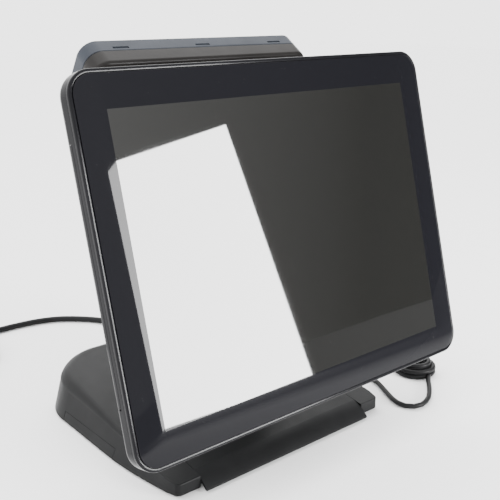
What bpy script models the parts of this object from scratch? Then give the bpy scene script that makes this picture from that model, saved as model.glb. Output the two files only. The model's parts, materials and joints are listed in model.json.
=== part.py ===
"""Touch-screen point-of-sale terminal: a glass-fronted head that tilts on a low wedge base, with a
slim customer display behind the head's top edge, a mains lead and a tied data lead.

Metres, +Z up. The operator stands at -Y and the customer at +Y. The origin is under the middle of
the terminal's box, on the table. Three working frames hang on empties:
  base     x right, y from the base's front edge towards the back, z up from the table
  head     x right, y from the glass's front face into the head, z up the panel from its middle
  display  x right, y from the hinge towards the customer's face, z up the display
"""

from math import acos, atan, atan2, cos, pi, radians, sin, sqrt, tan

import bmesh
import bpy
from mathutils import Matrix, Vector

# ---- clearances and walls -------------------------------------------------------------------
GAP = 0.0003
WALL = 0.0025
PLATE = 0.003

# ---- head -----------------------------------------------------------------------------------
GLASS_WIDTH = 0.350
GLASS_HEIGHT = 0.276
GLASS_THICKNESS = 0.003
GLASS_CORNER = 0.015
RIM_WIDTH = 0.0035
RIM_SETBACK = 0.0007
RIM_DEPTH = 0.0034
SHELF_DEPTH = 0.0024
SHELF_OVERLAP = 0.001
LCD_MARGIN = 0.012
LCD_THICKNESS = 0.0095
LCD_DROP = 0.001
CHASSIS_THICKNESS = 0.002
SLAB_STRAIGHT = 0.011
SLAB_EDGE_RADIUS = 0.009
HUMP_FOOT_INSET = 0.026
HUMP_TOP_INSET = 0.042
HUMP_DEPTH = 0.046
HUMP_EDGE = 0.002
HUMP_CORNER = 0.012
SIDE_BAY_LENGTH = 0.185
SIDE_BAY_START = 0.009
SIDE_BAY_WRAP = 0.0155
BUTTON_RADIUS = 0.005
BUTTON_PROUD = 0.0008
BUTTON_FLANGE = 0.0015
BUTTON_STEM = 0.0005
BUTTON_FROM_SIDE = 0.0377
BUTTON_FROM_BOTTOM = 0.0177

# ---- what the rear housing holds ----------------------------------------------------------------
BOARD_THICKNESS = 0.0016
BOARD_FROM_SIDE = 0.0935
BOARD_FROM_TOP = 0.0665
HEAT_SINK_X = (-0.060, 0.020)
HEAT_SINK_HEIGHT = 0.060
HEAT_SINK_BELOW_TOP = 0.025
HEAT_SINK_DEPTH = 0.014
HEAT_SINK_BASE = 0.003
FIN_COUNT = 8
FIN_GAP = 0.006
MEMORY_X = (0.024, 0.080)
MEMORY_HEIGHT = 0.030
MEMORY_ABOVE_EDGE = 0.013
MEMORY_THICKNESS = 0.004
DRIVE_BAY_WIDTH = 0.074
DRIVE_BAY_FROM_EDGE = 0.0085
DRIVE_BAY_Z = (-0.062, 0.042)
DRIVE_BAY_TO_BRACKET = 0.006
DRIVE_THICKNESS = 0.007
DRIVE_CLEARANCE = 0.002
DRIVE_BEHIND_COVER = 0.0035
CONTROLLER_X = (-0.120, -0.060)
CONTROLLER_BELOW_EDGE = 0.0455
CONTROLLER_HEIGHT = 0.018
SPEAKER_X = (0.050, 0.112)
SPEAKER_FROM_BOTTOM = 0.0435
SPEAKER_HEIGHT = 0.019
SPEAKER_DEPTH = 0.015
SPEAKER_INTO_SLAB = 0.003
VENT_COUNT = 9
VENT_PITCH = 0.0125
VENT_HEIGHT = 0.0035
VENT_WIDTH = 0.056
VENT_LOW = -0.056
VENT_FROM_EDGE = 0.0185

# ---- head tilt hinge and neck ----------------------------------------------------------------
SCREEN_TILT = radians(15.0)
HINGE_FROM_FRONT = 0.0495
HINGE_HEIGHT = 0.1448
HINGE_BELOW_CENTRE = 0.039
TILT_BACK = radians(50.0)
TILT_FORWARD = radians(10.0)
SHAFT_RADIUS = 0.005
CHEEK_INSIDE = 0.0244
EAR_THICKNESS = 0.003
WASHER_THICKNESS = 0.0027
NUT_THICKNESS = 0.006
NUT_RADIUS = 0.0095
EAR_EYE = 0.011
EAR_FOOT = 0.0176
CHEEK_EYE = 0.012
SHAFT_END = 0.001
NECK_RADIUS = 0.017
NECK_TO_BRACKET = 0.0037
NECK_HALF_WIDTH = 0.040
NECK_FOOT_FRONT = 0.074
NECK_FOOT_BACK = 0.150
NECK_SPLIT = 0.55
NECK_HOLLOW_DROP = 0.020
BRACKET_HALF_WIDTH = 0.048
BRACKET_HALF_HEIGHT = 0.040
BRACKET_SCREW_INSET = 0.010
BRACKET_CORNER = 0.006
SCREW_RADIUS = 0.002
SCREW_HEAD = 0.0038
SCREW_HEAD_HEIGHT = 0.0022
SCREW_BITE = 0.002

# ---- base ------------------------------------------------------------------------------------
BASE_DEPTH = 0.236
BASE_HALF_WIDTH = 0.130
BASE_SIDE_SWELL = 0.011
BASE_SIDE_LEAN = 0.0095
BASE_WIDEST_AT = 0.095
BASE_REAR_CORNER = 0.062
BASE_FRONT_CORNER = 0.005
BASE_FRONT_HEIGHT = 0.012
BASE_CLEARANCE = 0.0015
TOP_SLOPE = radians(8.2)
TOP_REAR_INSET = 0.008
EDGE_RADIUS_FRONT = 0.0012
EDGE_RADIUS_GROWTH = 0.0118
FRONT_COVER_HALF = 0.095
FRONT_COVER_PROUD = 0.008
FRONT_COVER_BACK = 0.064
FRONT_COVER_KNEE = 0.010
FRONT_COVER_SAG = 0.0025
FRONT_COVER_LIP = 0.0015
BASE_PLATE_THICKNESS = 0.002
BASE_PLATE_INSET = 0.0015
PLATE_SLOT_COUNT = 6
PLATE_SLOT_PITCH = 0.012
PLATE_SLOT_HEIGHT = 0.004
PLATE_SLOT_X = (0.055, 0.095)
PLATE_SLOT_FRONT = 0.105
FOOT_RADIUS = 0.009
FOOT_FROM_SIDE = 0.030
FOOT_FRONT = 0.018
FOOT_FROM_BACK = 0.036
STRIP_FRONT = 0.083
STRIP_FROM_CORNER = 0.002
STRIP_HEIGHT = 0.0085
STRIP_DEPTH = 0.004

# ---- inside the base ---------------------------------------------------------------------------
PORT_BAY_HALF = 0.062
PORT_BAY_HEIGHT = 0.0225
PORT_SETBACK = 0.0095
PORT_DEPTH = 0.018
IO_BOARD_FRONT = 0.052
IO_BOARD_BACK = 0.0125
IO_BOARD_THICKNESS = 0.0022
POWER_SUPPLY_FRONT = 0.100
POWER_SUPPLY_CLEARANCE = 0.008
POWER_SUPPLY_TO_NECK = 0.006
POWER_SUPPLY_HEADROOM = 0.002
INLET_SIZE = (0.031, 0.022, 0.0185)
INLET_LIFT = 0.0025
INLET_RECESS = (0.024, 0.014, 0.014)
# Each port's middle in x, its width and height, and its openings' width, height, depth and lift from
# the middle.
PORTS = {
    "drawer_port": (-0.0525, (0.012, 0.012), [(0.008, 0.007, 0.009, 0)]),
    "serial_port": (-0.0265, (0.031, 0.0125), [(0.0165, 0.0078, 0.0065, 0)]),
    "usb_ports": (
        0.0015, (0.0145, 0.0155), [(0.0125, 0.0052, 0.010, -0.0036), (0.0125, 0.0052, 0.010, 0.0036)]
    ),
    "lan_port": (0.052, (0.0155, 0.0135), [(0.0117, 0.0067, 0.008, 0)]),
}

# ---- customer display ------------------------------------------------------------------------
DISPLAY_WIDTH = 0.228
DISPLAY_HEIGHT = 0.062
DISPLAY_OPERATOR_SHELL = 0.016
DISPLAY_CUSTOMER_SHELL = 0.014
DISPLAY_WALL = 0.002
DISPLAY_CORNER = 0.014
DISPLAY_CHAMFER = 0.004
DISPLAY_LEAN = radians(34.5)
DISPLAY_ARM_REACH = 0.0401
DISPLAY_HINGE_FROM_TOP = 0.0141
DISPLAY_HINGE_GAP = 0.012
DISPLAY_PIN_RADIUS = 0.003
DISPLAY_BARREL = 0.008
ARM_HALF_WIDTH = 0.024
ARM_FOOT_HEIGHT = 0.032
ARM_FOOT_FROM_EDGE = 0.0075
LUG_WIDTH = 0.008
LUG_FOOT = 0.0112
WINDOW_WIDTH = 0.170
WINDOW_HEIGHT = 0.034
WINDOW_SETBACK = 0.0004
WINDOW_CORNER = 0.002
MODULE_OVERLAP = 0.005
MODULE_INSET = 0.002

# ---- cords -----------------------------------------------------------------------------------
MAINS_DIAMETER = 0.007
DATA_DIAMETER = 0.005
INLET_X = 0.028
CONNECTOR_BODY = (0.028, 0.026, 0.017)
CONNECTOR_NOSE = 0.0135
CONNECTOR_STANDOFF = 0.001
BOOT_LENGTH = 0.026
BOOT_RADIUS = 0.0065
BOOT_WALL = 0.0006
DATA_PLUG_SIZE = (0.0116, 0.016, 0.0066)
DATA_BOOT_LENGTH = 0.0116
DATA_BOOT_RADIUS = 0.0034
DATA_BOOT_WALL = 0.0004
DATA_END_HEIGHT = 0.0037
DATA_END_LENGTH = 0.022
PLUG_SIZE = (0.025, 0.024, 0.025)
PLUG_BOOT_LENGTH = 0.022
PLUG_BOOT_RADIUS = 0.008
BLADE_SIZE = (0.0015, 0.0165, 0.0064)
BLADE_SPACING = 0.0127
BLADE_LIFT = 0.001
EARTH_PIN_RADIUS = 0.0024
EARTH_PIN_LENGTH = 0.019
EARTH_PIN_DROP = 0.0075
COIL_CENTRE = (-0.162, 0.370)
COIL_MEAN_RADIUS = 0.0385
COIL_ACROSS = 3
COIL_LAYERS = 2
HANK_X = 0.212
HANK_FRONT = 0.008
HANK_LENGTH = 0.096
HANK_WIDTH = 0.044
HANK_HEIGHT = 0.0175
TIE_WIDTH = 0.008
TIE_THICKNESS = 0.0015

# ---- worked out from the sizes above -----------------------------------------------------------
FRAME_WIDTH = GLASS_WIDTH + 2 * RIM_WIDTH
FRAME_HEIGHT = GLASS_HEIGHT + 2 * RIM_WIDTH
FRAME_CORNER = GLASS_CORNER + RIM_WIDTH
LCD_WIDTH = GLASS_WIDTH - 2 * LCD_MARGIN
LCD_HEIGHT = GLASS_HEIGHT - 2 * LCD_MARGIN
RIM_BACK = RIM_SETBACK + RIM_DEPTH
GLASS_SEAT = GLASS_THICKNESS + GAP
SHELF_BACK = RIM_BACK + SHELF_DEPTH
LCD_BACK = GLASS_SEAT + LCD_THICKNESS
CHASSIS_FRONT = LCD_BACK + GAP
CHASSIS_BACK = CHASSIS_FRONT + CHASSIS_THICKNESS
HOUSING_FRONT = RIM_BACK + GAP
SLAB_BACK = SLAB_STRAIGHT + SLAB_EDGE_RADIUS
HUMP_HALF_WIDTH = FRAME_WIDTH / 2 - HUMP_TOP_INSET
HUMP_HALF_HEIGHT = FRAME_HEIGHT / 2 - HUMP_TOP_INSET
HINGE_DEPTH = HUMP_DEPTH + GAP + PLATE + NECK_TO_BRACKET + NECK_RADIUS
DISPLAY_HINGE_DEPTH = HUMP_DEPTH + DISPLAY_ARM_REACH
DISPLAY_HINGE_UP = FRAME_HEIGHT / 2 - DISPLAY_HINGE_FROM_TOP
DRIVE_BAY_RIGHT = HUMP_HALF_WIDTH - DRIVE_BAY_FROM_EDGE
DRIVE_BAY_LEFT = max(DRIVE_BAY_RIGHT - DRIVE_BAY_WIDTH, BRACKET_HALF_WIDTH + DRIVE_BAY_TO_BRACKET)
DRIVE_BAY_X = (DRIVE_BAY_LEFT, DRIVE_BAY_RIGHT)
BUTTON_X = FRAME_WIDTH / 2 - BUTTON_FROM_SIDE
BUTTON_Z = -FRAME_HEIGHT / 2 + BUTTON_FROM_BOTTOM
BASE_FRONT_HALF = BASE_HALF_WIDTH - BASE_SIDE_SWELL
TOP_HALF_WIDTH = BASE_HALF_WIDTH - BASE_SIDE_LEAN
STRIP_BACK = BASE_DEPTH - BASE_REAR_CORNER - STRIP_FROM_CORNER
INSIDE_FLOOR = BASE_CLEARANCE + BASE_PLATE_THICKNESS + GAP
COIL_HALF_WIDTH = COIL_ACROSS * MAINS_DIAMETER / 2
COIL_OUTER_TURN = COIL_MEAN_RADIUS + COIL_HALF_WIDTH - MAINS_DIAMETER / 2

# The head's lowest front corner is the terminal's foremost point, and the base's rear its rearmost.
PANEL_FROM_FRONT = (
    HINGE_FROM_FRONT - HINGE_DEPTH * cos(SCREEN_TILT) + HINGE_BELOW_CENTRE * sin(SCREEN_TILT)
)
HEAD_REACH = FRAME_HEIGHT / 2 * sin(SCREEN_TILT) - PANEL_FROM_FRONT
BASE_FRONT_Y = -(BASE_DEPTH - HEAD_REACH) / 2

# ---- scene, collections and frames ---------------------------------------------------------------
for old in list(bpy.data.objects):
    bpy.data.objects.remove(old)

PARTS = bpy.data.collections.new("pos_terminal")
CUTTERS = bpy.data.collections.new("pos_terminal_cutters")
bpy.context.scene.collection.children.link(PARTS)
bpy.context.scene.collection.children.link(CUTTERS)


def frame(name, location, tilt=0.0, parent=None):
    """An empty that holds one working frame, turned about X."""
    empty = bpy.data.objects.new(name, None)
    empty.location = location
    empty.rotation_euler = (tilt, 0, 0)
    empty.parent = parent
    PARTS.objects.link(empty)
    return empty


BASE = frame("base_frame", (0, BASE_FRONT_Y, 0))
HEAD_HINGE = frame("head_hinge", (0, HINGE_FROM_FRONT, HINGE_HEIGHT), -SCREEN_TILT, BASE)
HEAD = frame("head_frame", (0, -HINGE_DEPTH, HINGE_BELOW_CENTRE), 0, HEAD_HINGE)
DISPLAY = frame(
    "display_hinge",
    (0, DISPLAY_HINGE_DEPTH, DISPLAY_HINGE_UP),
    DISPLAY_LEAN + SCREEN_TILT,
    HEAD,
)


# ---- materials -------------------------------------------------------------------------------
def material(name, colour, roughness, metallic=0.0):
    made = bpy.data.materials.new(name)
    made.use_nodes = True
    shader = made.node_tree.nodes["Principled BSDF"]
    shader.inputs["Base Color"].default_value = (*colour, 1)
    shader.inputs["Roughness"].default_value = roughness
    shader.inputs["Metallic"].default_value = metallic
    return made


MATTE_BLACK = material("matte_black", (0.022, 0.022, 0.023), 0.45)
GLOSS_BLACK = material("gloss_black", (0.012, 0.012, 0.014), 0.08)
GREY_BLACK = material("grey_black", (0.035, 0.034, 0.036), 0.4)
GLASS_BLACK = material("glass_black", (0.006, 0.006, 0.008), 0.03)
SCREEN_GREY = material("screen_grey", (0.05, 0.05, 0.048), 0.2)
STEEL = material("steel", (0.55, 0.55, 0.56), 0.35, 1.0)
ALUMINIUM = material("aluminium", (0.7, 0.7, 0.72), 0.4, 1.0)
BOARD_GREEN = material("board_green", (0.02, 0.12, 0.05), 0.5)
RUBBER = material("rubber", (0.02, 0.02, 0.02), 0.9)
CORD_BLACK = material("cord_black", (0.02, 0.02, 0.02), 0.55)
DISPLAY_GLASS = material("display_glass", (0.01, 0.03, 0.03), 0.1)


# ---- shaping helpers -----------------------------------------------------------------------------
def add(name, mesh, parent, finish):
    """A node of the model, in its frame; a node with no finish is a cutter."""
    made = bpy.data.objects.new(name, mesh)
    made.parent = parent
    if finish is None:
        made.hide_render = True
        made.display_type = "WIRE"
        CUTTERS.objects.link(made)
    else:
        mesh.materials.clear()
        mesh.materials.append(finish)
        PARTS.objects.link(made)
    return made


def add_bmesh(name, shape, parent, finish):
    mesh = bpy.data.meshes.new(name)
    bmesh.ops.recalc_face_normals(shape, faces=shape.faces)
    shape.to_mesh(mesh)
    shape.free()
    return add(name, mesh, parent, finish)


def block(name, low, high, parent, finish, corner=0.0, axis=None, steps=3):
    """A box between two corners; the four edges along axis may be rounded."""
    low, high = Vector(low), Vector(high)
    shape = bmesh.new()
    bmesh.ops.create_cube(shape, size=1)
    for vertex in shape.verts:
        vertex.co = (low + high) / 2 + Vector(
            vertex.co[i] * (high[i] - low[i]) for i in range(3)
        )
    if corner and axis:
        along = "XYZ".index(axis)
        edges = [
            edge
            for edge in shape.edges
            if abs((edge.verts[0].co - edge.verts[1].co)[along]) > 1e-6
        ]
        bmesh.ops.bevel(
            shape, geom=edges, offset=corner, offset_type="OFFSET",
            segments=steps, profile=0.5, affect="EDGES", clamp_overlap=True,
        )
    return add_bmesh(name, shape, parent, finish)


def rod(name, start, end, radius, parent, finish, sides=24, end_radius=None):
    """A round bar from start to end, or a cone when end_radius is given."""
    start, end = Vector(start), Vector(end)
    shape = bmesh.new()
    bmesh.ops.create_cone(
        shape, cap_ends=True, segments=sides, radius1=radius,
        radius2=radius if end_radius is None else end_radius, depth=(end - start).length,
    )
    turn = Vector((0, 0, 1)).rotation_difference(end - start).to_matrix().to_4x4()
    bmesh.ops.transform(shape, matrix=Matrix.Translation((start + end) / 2) @ turn, verts=shape.verts)
    return add_bmesh(name, shape, parent, finish)


SIDE_VIEW = Matrix(((0, 0, 1, 0), (1, 0, 0, 0), (0, 1, 0, 0), (0, 0, 0, 1)))
PLAN_VIEW = Matrix.Identity(4)


def flat_solid(name, outline, low, high, parent, finish, view=SIDE_VIEW):
    """A flat outline with a thickness: (y, z) points along x, or in plan (x, y) points along z."""
    curve = bpy.data.curves.new(name, "CURVE")
    curve.dimensions = "2D"
    curve.fill_mode = "BOTH"
    curve.extrude = (high - low) / 2
    spline = curve.splines.new("POLY")
    spline.points.add(len(outline) - 1)
    for point, (u, v) in zip(spline.points, outline):
        point.co = (u, v, 0, 1)
    spline.use_cyclic_u = True
    return from_curve(name, curve, parent, finish, view @ Matrix.Translation((0, 0, (low + high) / 2)))


def from_curve(name, curve, parent, finish, place=PLAN_VIEW):
    """A curve made into a closed mesh, with its caps welded on."""
    drawn = bpy.data.objects.new(name + "_curve", curve)
    bpy.context.scene.collection.objects.link(drawn)
    bpy.context.view_layer.update()
    seen = drawn.evaluated_get(bpy.context.evaluated_depsgraph_get())
    mesh = bpy.data.meshes.new_from_object(seen)
    bpy.data.objects.remove(drawn)
    shape = bmesh.new()
    shape.from_mesh(mesh)
    bmesh.ops.remove_doubles(shape, verts=shape.verts, dist=1e-6)
    bmesh.ops.transform(shape, matrix=place, verts=shape.verts)
    return add_bmesh(name, shape, parent, finish)


def loft_mesh(name, rings, close_start=False, close_end=True):
    """A skin through rings of equal count, open or closed at each end."""
    shape = bmesh.new()
    loops = [[shape.verts.new(point) for point in ring] for ring in rings]
    for near, far in zip(loops, loops[1:]):
        for i in range(len(near)):
            j = (i + 1) % len(near)
            shape.faces.new((near[i], near[j], far[j], far[i]))
    if close_start:
        shape.faces.new(loops[0])
    if close_end:
        shape.faces.new(loops[-1])
    bmesh.ops.triangulate(shape, faces=shape.faces)
    bmesh.ops.recalc_face_normals(shape, faces=shape.faces)
    mesh = bpy.data.meshes.new(name)
    shape.to_mesh(mesh)
    shape.free()
    return mesh


def shell(made, thickness):
    """Thickens an open skin inwards."""
    solidify = made.modifiers.new("wall", "SOLIDIFY")
    solidify.thickness = thickness
    solidify.offset = -1
    solidify.use_even_offset = True
    return made


def boolean(target, tool, operation):
    cut = target.modifiers.new(operation.lower() + "_" + tool.name, "BOOLEAN")
    cut.operation = operation
    cut.object = tool
    cut.solver = "EXACT"
    return target


def cut(target, tool):
    return boolean(target, tool, "DIFFERENCE")


def join(target, tool):
    return boolean(target, tool, "UNION")


def keep_inside(target, tool):
    return boolean(target, tool, "INTERSECT")


def arc(centre, radius, start, end, steps):
    """Points on an arc, angles in radians, both ends included."""
    return [
        (
            centre[0] + radius * cos(start + (end - start) * i / steps),
            centre[1] + radius * sin(start + (end - start) * i / steps),
        )
        for i in range(steps + 1)
    ]


def rounded_rectangle(half_width, half_height, radius, steps=5):
    """A rounded rectangle's outline, anticlockwise from the right."""
    points = []
    for corner, (sx, sy) in enumerate([(1, 1), (-1, 1), (-1, -1), (1, -1)]):
        centre = (sx * (half_width - radius), sy * (half_height - radius))
        points += arc(centre, radius, corner * pi / 2, (corner + 1) * pi / 2, steps)
    return points


def round_slab(name, width, height, corner, front, back, parent, finish, drop=0.0, steps=5):
    """A rounded plate of the head: its outline in x and z, its thickness along y."""
    outline = [(x, z - drop) for x, z in rounded_rectangle(width / 2, height / 2, corner, steps)]
    mesh = loft_mesh(
        name, [[(x, y, z) for x, z in outline] for y in (front, back)], close_start=True
    )
    return add(name, mesh, parent, finish)


def eye_outline(foot_a, foot_b, centre, radius, steps=10):
    """A plate's side view: a straight foot from a to b, then clockwise round an eye that it tapers to."""

    def touching(foot, side):
        away = Vector(foot) - Vector(centre)
        turn = atan2(away.y, away.x)
        return turn + side * (pi / 2 - atan2(radius, sqrt(away.length_squared - radius**2)))

    start, end = touching(foot_b, -1), touching(foot_a, 1)
    end = start - (start - end) % (2 * pi)
    return [foot_a, foot_b] + arc(centre, radius, start, end, steps)


# ---- base shapes --------------------------------------------------------------------------------
def top_height(y):
    """The base's sloping top plane."""
    return BASE_FRONT_HEIGHT + y * tan(TOP_SLOPE)


def base_outline():
    """The base's right half in plan, from the front middle to the rear middle, with outer normals."""
    corner = BASE_FRONT_CORNER
    points = [(0.0, 0.0), (FRONT_COVER_HALF * 0.5, 0.0), (FRONT_COVER_HALF, 0.0)]
    points += arc((BASE_FRONT_HALF - corner, corner), corner, -pi / 2, 0, 3)
    rear_start = BASE_DEPTH - BASE_REAR_CORNER
    side_steps = 10
    for i in range(1, side_steps):
        y = corner + (rear_start - corner) * i / side_steps
        swell = sin(pi / 2 * min(1.0, y / BASE_WIDEST_AT))
        points.append((BASE_FRONT_HALF + (BASE_HALF_WIDTH - BASE_FRONT_HALF) * swell, y))
    centre = (BASE_HALF_WIDTH - BASE_REAR_CORNER, rear_start)
    points += arc(centre, BASE_REAR_CORNER, 0, pi / 2, 9)
    points += [(centre[0] / 2, BASE_DEPTH), (0.0, BASE_DEPTH)]
    return points


def mirrored(half):
    """A closed loop from a right half whose first and last points lie on the middle plane."""
    return half + [(-x, y) for x, y in reversed(half[1:-1])]


def inset(loop, amounts):
    """Moves each point of an anticlockwise loop inwards by its own amount."""
    moved = []
    for i, (x, y) in enumerate(loop):
        before, after = loop[i - 1], loop[(i + 1) % len(loop)]
        along = Vector((after[0] - before[0], after[1] - before[1])).normalized()
        moved.append((x - along.y * amounts[i], y + along.x * amounts[i]))
    return moved


def rise(y, low, high):
    """Goes smoothly from 0 at low to 1 at high."""
    share = min(1.0, max(0.0, (y - low) / (high - low)))
    return share * share * (3 - 2 * share)


def base_rings(shrink):
    """The base's skin, drawn inwards by shrink: up the wall from the lower edge and over the rim."""
    outer = mirrored(base_outline())
    lean = [
        max(0.0, abs(x) - TOP_HALF_WIDTH) * (1 - rise(y, 0.12, BASE_DEPTH))
        + TOP_REAR_INSET * rise(y, 0.12, BASE_DEPTH)
        for x, y in outer
    ]
    foot = inset(outer, [shrink] * len(outer))
    rim = inset(outer, [shrink + amount for amount in lean])
    edge = [
        max(EDGE_RADIUS_FRONT + EDGE_RADIUS_GROWTH * rise(y, 0.02, BASE_DEPTH) - shrink, GAP)
        for _, y in outer
    ]
    drop = shrink / cos(TOP_SLOPE)
    rings = [[(x, y, BASE_CLEARANCE) for x, y in foot]]
    if shrink:
        rings.insert(0, [(x, y, BASE_CLEARANCE - shrink) for x, y in foot])
    for step in range(5):
        turn = pi / 2 * step / 4
        loop = inset(rim, [r * (1 - cos(turn)) for r in edge])
        rings.append(
            [(x, y, top_height(y) - drop - r * (1 - sin(turn))) for (x, y), r in zip(loop, edge)]
        )
    return rings


def base_shell(name):
    """The base's outer form, hollowed from below."""
    made = add(name, loft_mesh(name, base_rings(0), close_start=True), BASE, MATTE_BLACK)
    hollow = add(name + "_hollow", loft_mesh(name + "_hollow", base_rings(WALL), True), BASE, None)
    return cut(made, hollow)


def make_base_cover():
    cover = base_shell("base_cover")
    tall = 0.1
    side = FRONT_COVER_HALF + GAP
    cut(cover, block("front_bay", (-side, -tall, -tall), (side, FRONT_COVER_BACK + GAP, tall), BASE, None))
    cut(cover, block(
        "neck_hole", (-NECK_HALF_WIDTH + 2 * WALL, NECK_FOOT_FRONT + WALL, -tall),
        (NECK_HALF_WIDTH - 2 * WALL, NECK_FOOT_BACK - 3 * WALL, tall), BASE, None,
    ))
    cut(cover, block(
        "port_bay", (-PORT_BAY_HALF, BASE_DEPTH - BASE_REAR_CORNER / 2, INSIDE_FLOOR),
        (PORT_BAY_HALF, BASE_DEPTH + tall, INSIDE_FLOOR - GAP + PORT_BAY_HEIGHT), BASE, None,
    ))
    for side, sign in (("left", -1), ("right", 1)):
        for name, slack in ((f"side_strip_{side}", 0.0), (f"strip_bay_{side}", GAP)):
            x_in, x_out = sign * (TOP_HALF_WIDTH - STRIP_DEPTH), sign * (BASE_HALF_WIDTH + WALL)
            bounds = block(
                name + "_bounds",
                (min(x_in, x_out), STRIP_FRONT - slack, -tall),
                (max(x_in, x_out), STRIP_BACK + slack, BASE_CLEARANCE + STRIP_HEIGHT + slack),
                BASE, None,
            )
            if slack:
                cut(cover, bounds)
            else:
                keep_inside(base_shell(name), bounds)


def make_base_front_cover():
    """The proud middle of the front edge: the top plane runs on, then sweeps down to a thin lip."""
    lip_y = -FRONT_COVER_PROUD
    knee_z = top_height(FRONT_COVER_KNEE)
    start = Vector((FRONT_COVER_KNEE, knee_z))
    control = Vector((0, knee_z - FRONT_COVER_SAG))
    finish = Vector((lip_y, BASE_CLEARANCE + FRONT_COVER_LIP))
    sweep, steps = [], 8
    for i in range(steps + 1):
        t = i / steps
        sweep.append((1 - t) ** 2 * start + 2 * t * (1 - t) * control + t * t * finish)
    top = [Vector((FRONT_COVER_BACK, top_height(FRONT_COVER_BACK)))] + sweep
    inner = []
    for i, point in enumerate(top):
        along = (top[min(i + 1, len(top) - 1)] - top[max(i - 1, 0)]).normalized()
        inner.append(point + WALL * Vector((-along.y, along.x)))
    inner[0] = Vector((FRONT_COVER_BACK, top[0].y - WALL / cos(TOP_SLOPE)))
    inner[-1] = Vector((lip_y + WALL, BASE_CLEARANCE))
    outline = top + [Vector((lip_y, BASE_CLEARANCE))] + list(reversed(inner))
    flat_solid(
        "base_front_cover", [tuple(point) for point in outline],
        -FRONT_COVER_HALF, FRONT_COVER_HALF, BASE, MATTE_BLACK,
    )


def make_base_plate():
    loop = mirrored(base_outline())
    outline = inset(loop, [WALL + BASE_PLATE_INSET] * len(loop))
    low, high = BASE_CLEARANCE, BASE_CLEARANCE + BASE_PLATE_THICKNESS
    plate = flat_solid("base_plate", outline, low, high, BASE, STEEL, PLAN_VIEW)
    for i in range(PLATE_SLOT_COUNT):
        y = PLATE_SLOT_FRONT + PLATE_SLOT_PITCH * i
        cut(plate, block(
            f"plate_slot_{i}", (PLATE_SLOT_X[0], y, -high),
            (PLATE_SLOT_X[1], y + PLATE_SLOT_HEIGHT, 2 * high), BASE, None,
        ))
    foot = 0
    for y in (FOOT_FRONT, BASE_DEPTH - FOOT_FROM_BACK):
        for x in (FOOT_FROM_SIDE - BASE_HALF_WIDTH, BASE_HALF_WIDTH - FOOT_FROM_SIDE):
            foot += 1
            rod(
                f"rubber_foot_{foot}", (x, y, 0), (x, y, BASE_CLEARANCE - GAP), FOOT_RADIUS,
                BASE, RUBBER, 20,
            )


# ---- neck and hinge --------------------------------------------------------------------------------
FLANGE_LOW = INSIDE_FLOOR
FLANGE_HIGH = FLANGE_LOW + PLATE
CHEEK_OUTSIDE = CHEEK_INSIDE + PLATE
EAR_OUTSIDE = CHEEK_INSIDE - 2 * GAP - WASHER_THICKNESS
HINGE = (HINGE_FROM_FRONT, HINGE_HEIGHT)
CHEEK_FRONT = NECK_FOOT_FRONT + 4 * WALL
CHEEK_BACK = NECK_FOOT_BACK - 4 * WALL


def on_shaft(name, outside, start, end, sides=24):
    """A bar along the head's hinge shaft, with a clearance hole for it."""
    made = rod(name, (start, *HINGE), (end, *HINGE), outside, BASE, STEEL, sides)
    low, high = min(start, end) - PLATE, max(start, end) + PLATE
    return cut(made, rod(name + "_hole", (low, *HINGE), (high, *HINGE), SHAFT_RADIUS + GAP, BASE, None))


def make_neck_frame():
    neck = block(
        "neck_frame", (-NECK_HALF_WIDTH, CHEEK_FRONT, FLANGE_LOW),
        (NECK_HALF_WIDTH, CHEEK_BACK, FLANGE_HIGH), BASE, STEEL,
    )
    outline = eye_outline(
        (CHEEK_BACK - WALL, FLANGE_HIGH - PLATE / 2), (CHEEK_FRONT + WALL, FLANGE_HIGH - PLATE / 2),
        HINGE, CHEEK_EYE,
    )
    for side, sign in (("left", -1), ("right", 1)):
        low, high = sorted((sign * CHEEK_INSIDE, sign * CHEEK_OUTSIDE))
        join(neck, flat_solid(f"cheek_{side}", outline, low, high, BASE, None))
    reach = NECK_HALF_WIDTH
    hole = rod(
        "cheek_hole", (-reach, *HINGE), (reach, *HINGE), SHAFT_RADIUS + GAP, BASE, None, 24
    )
    cut(neck, hole)


def make_hinge():
    half = CHEEK_OUTSIDE + GAP + NUT_THICKNESS + SHAFT_END
    rod("hinge_shaft", (-half, *HINGE), (half, *HINGE), SHAFT_RADIUS, BASE, STEEL, 24)
    for side, sign in (("left", -1), ("right", 1)):
        on_shaft(
            f"friction_washer_{side}", EAR_EYE, sign * (EAR_OUTSIDE + GAP), sign * (CHEEK_INSIDE - GAP)
        )
        on_shaft(
            f"hinge_nut_{side}", NUT_RADIUS, sign * (CHEEK_OUTSIDE + GAP),
            sign * (CHEEK_OUTSIDE + GAP + NUT_THICKNESS), 6,
        )


def neck_outline(shrink):
    """The neck's side view: a round top about the hinge and a long foot on the sloping base."""
    feet = []
    for y, side in ((NECK_FOOT_BACK, 1), (NECK_FOOT_FRONT, -1)):
        foot = Vector((y, top_height(y) + GAP))
        away = foot - Vector(HINGE)
        turn = atan2(away.y, away.x) + side * acos(NECK_RADIUS / away.length)
        out = Vector((cos(turn), sin(turn)))
        face = (away - out * NECK_RADIUS).normalized()
        if shrink:
            foot += face * NECK_HOLLOW_DROP - out * shrink
        feet.append(tuple(foot))
    return eye_outline(*feet, HINGE, NECK_RADIUS - shrink, 14)


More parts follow.
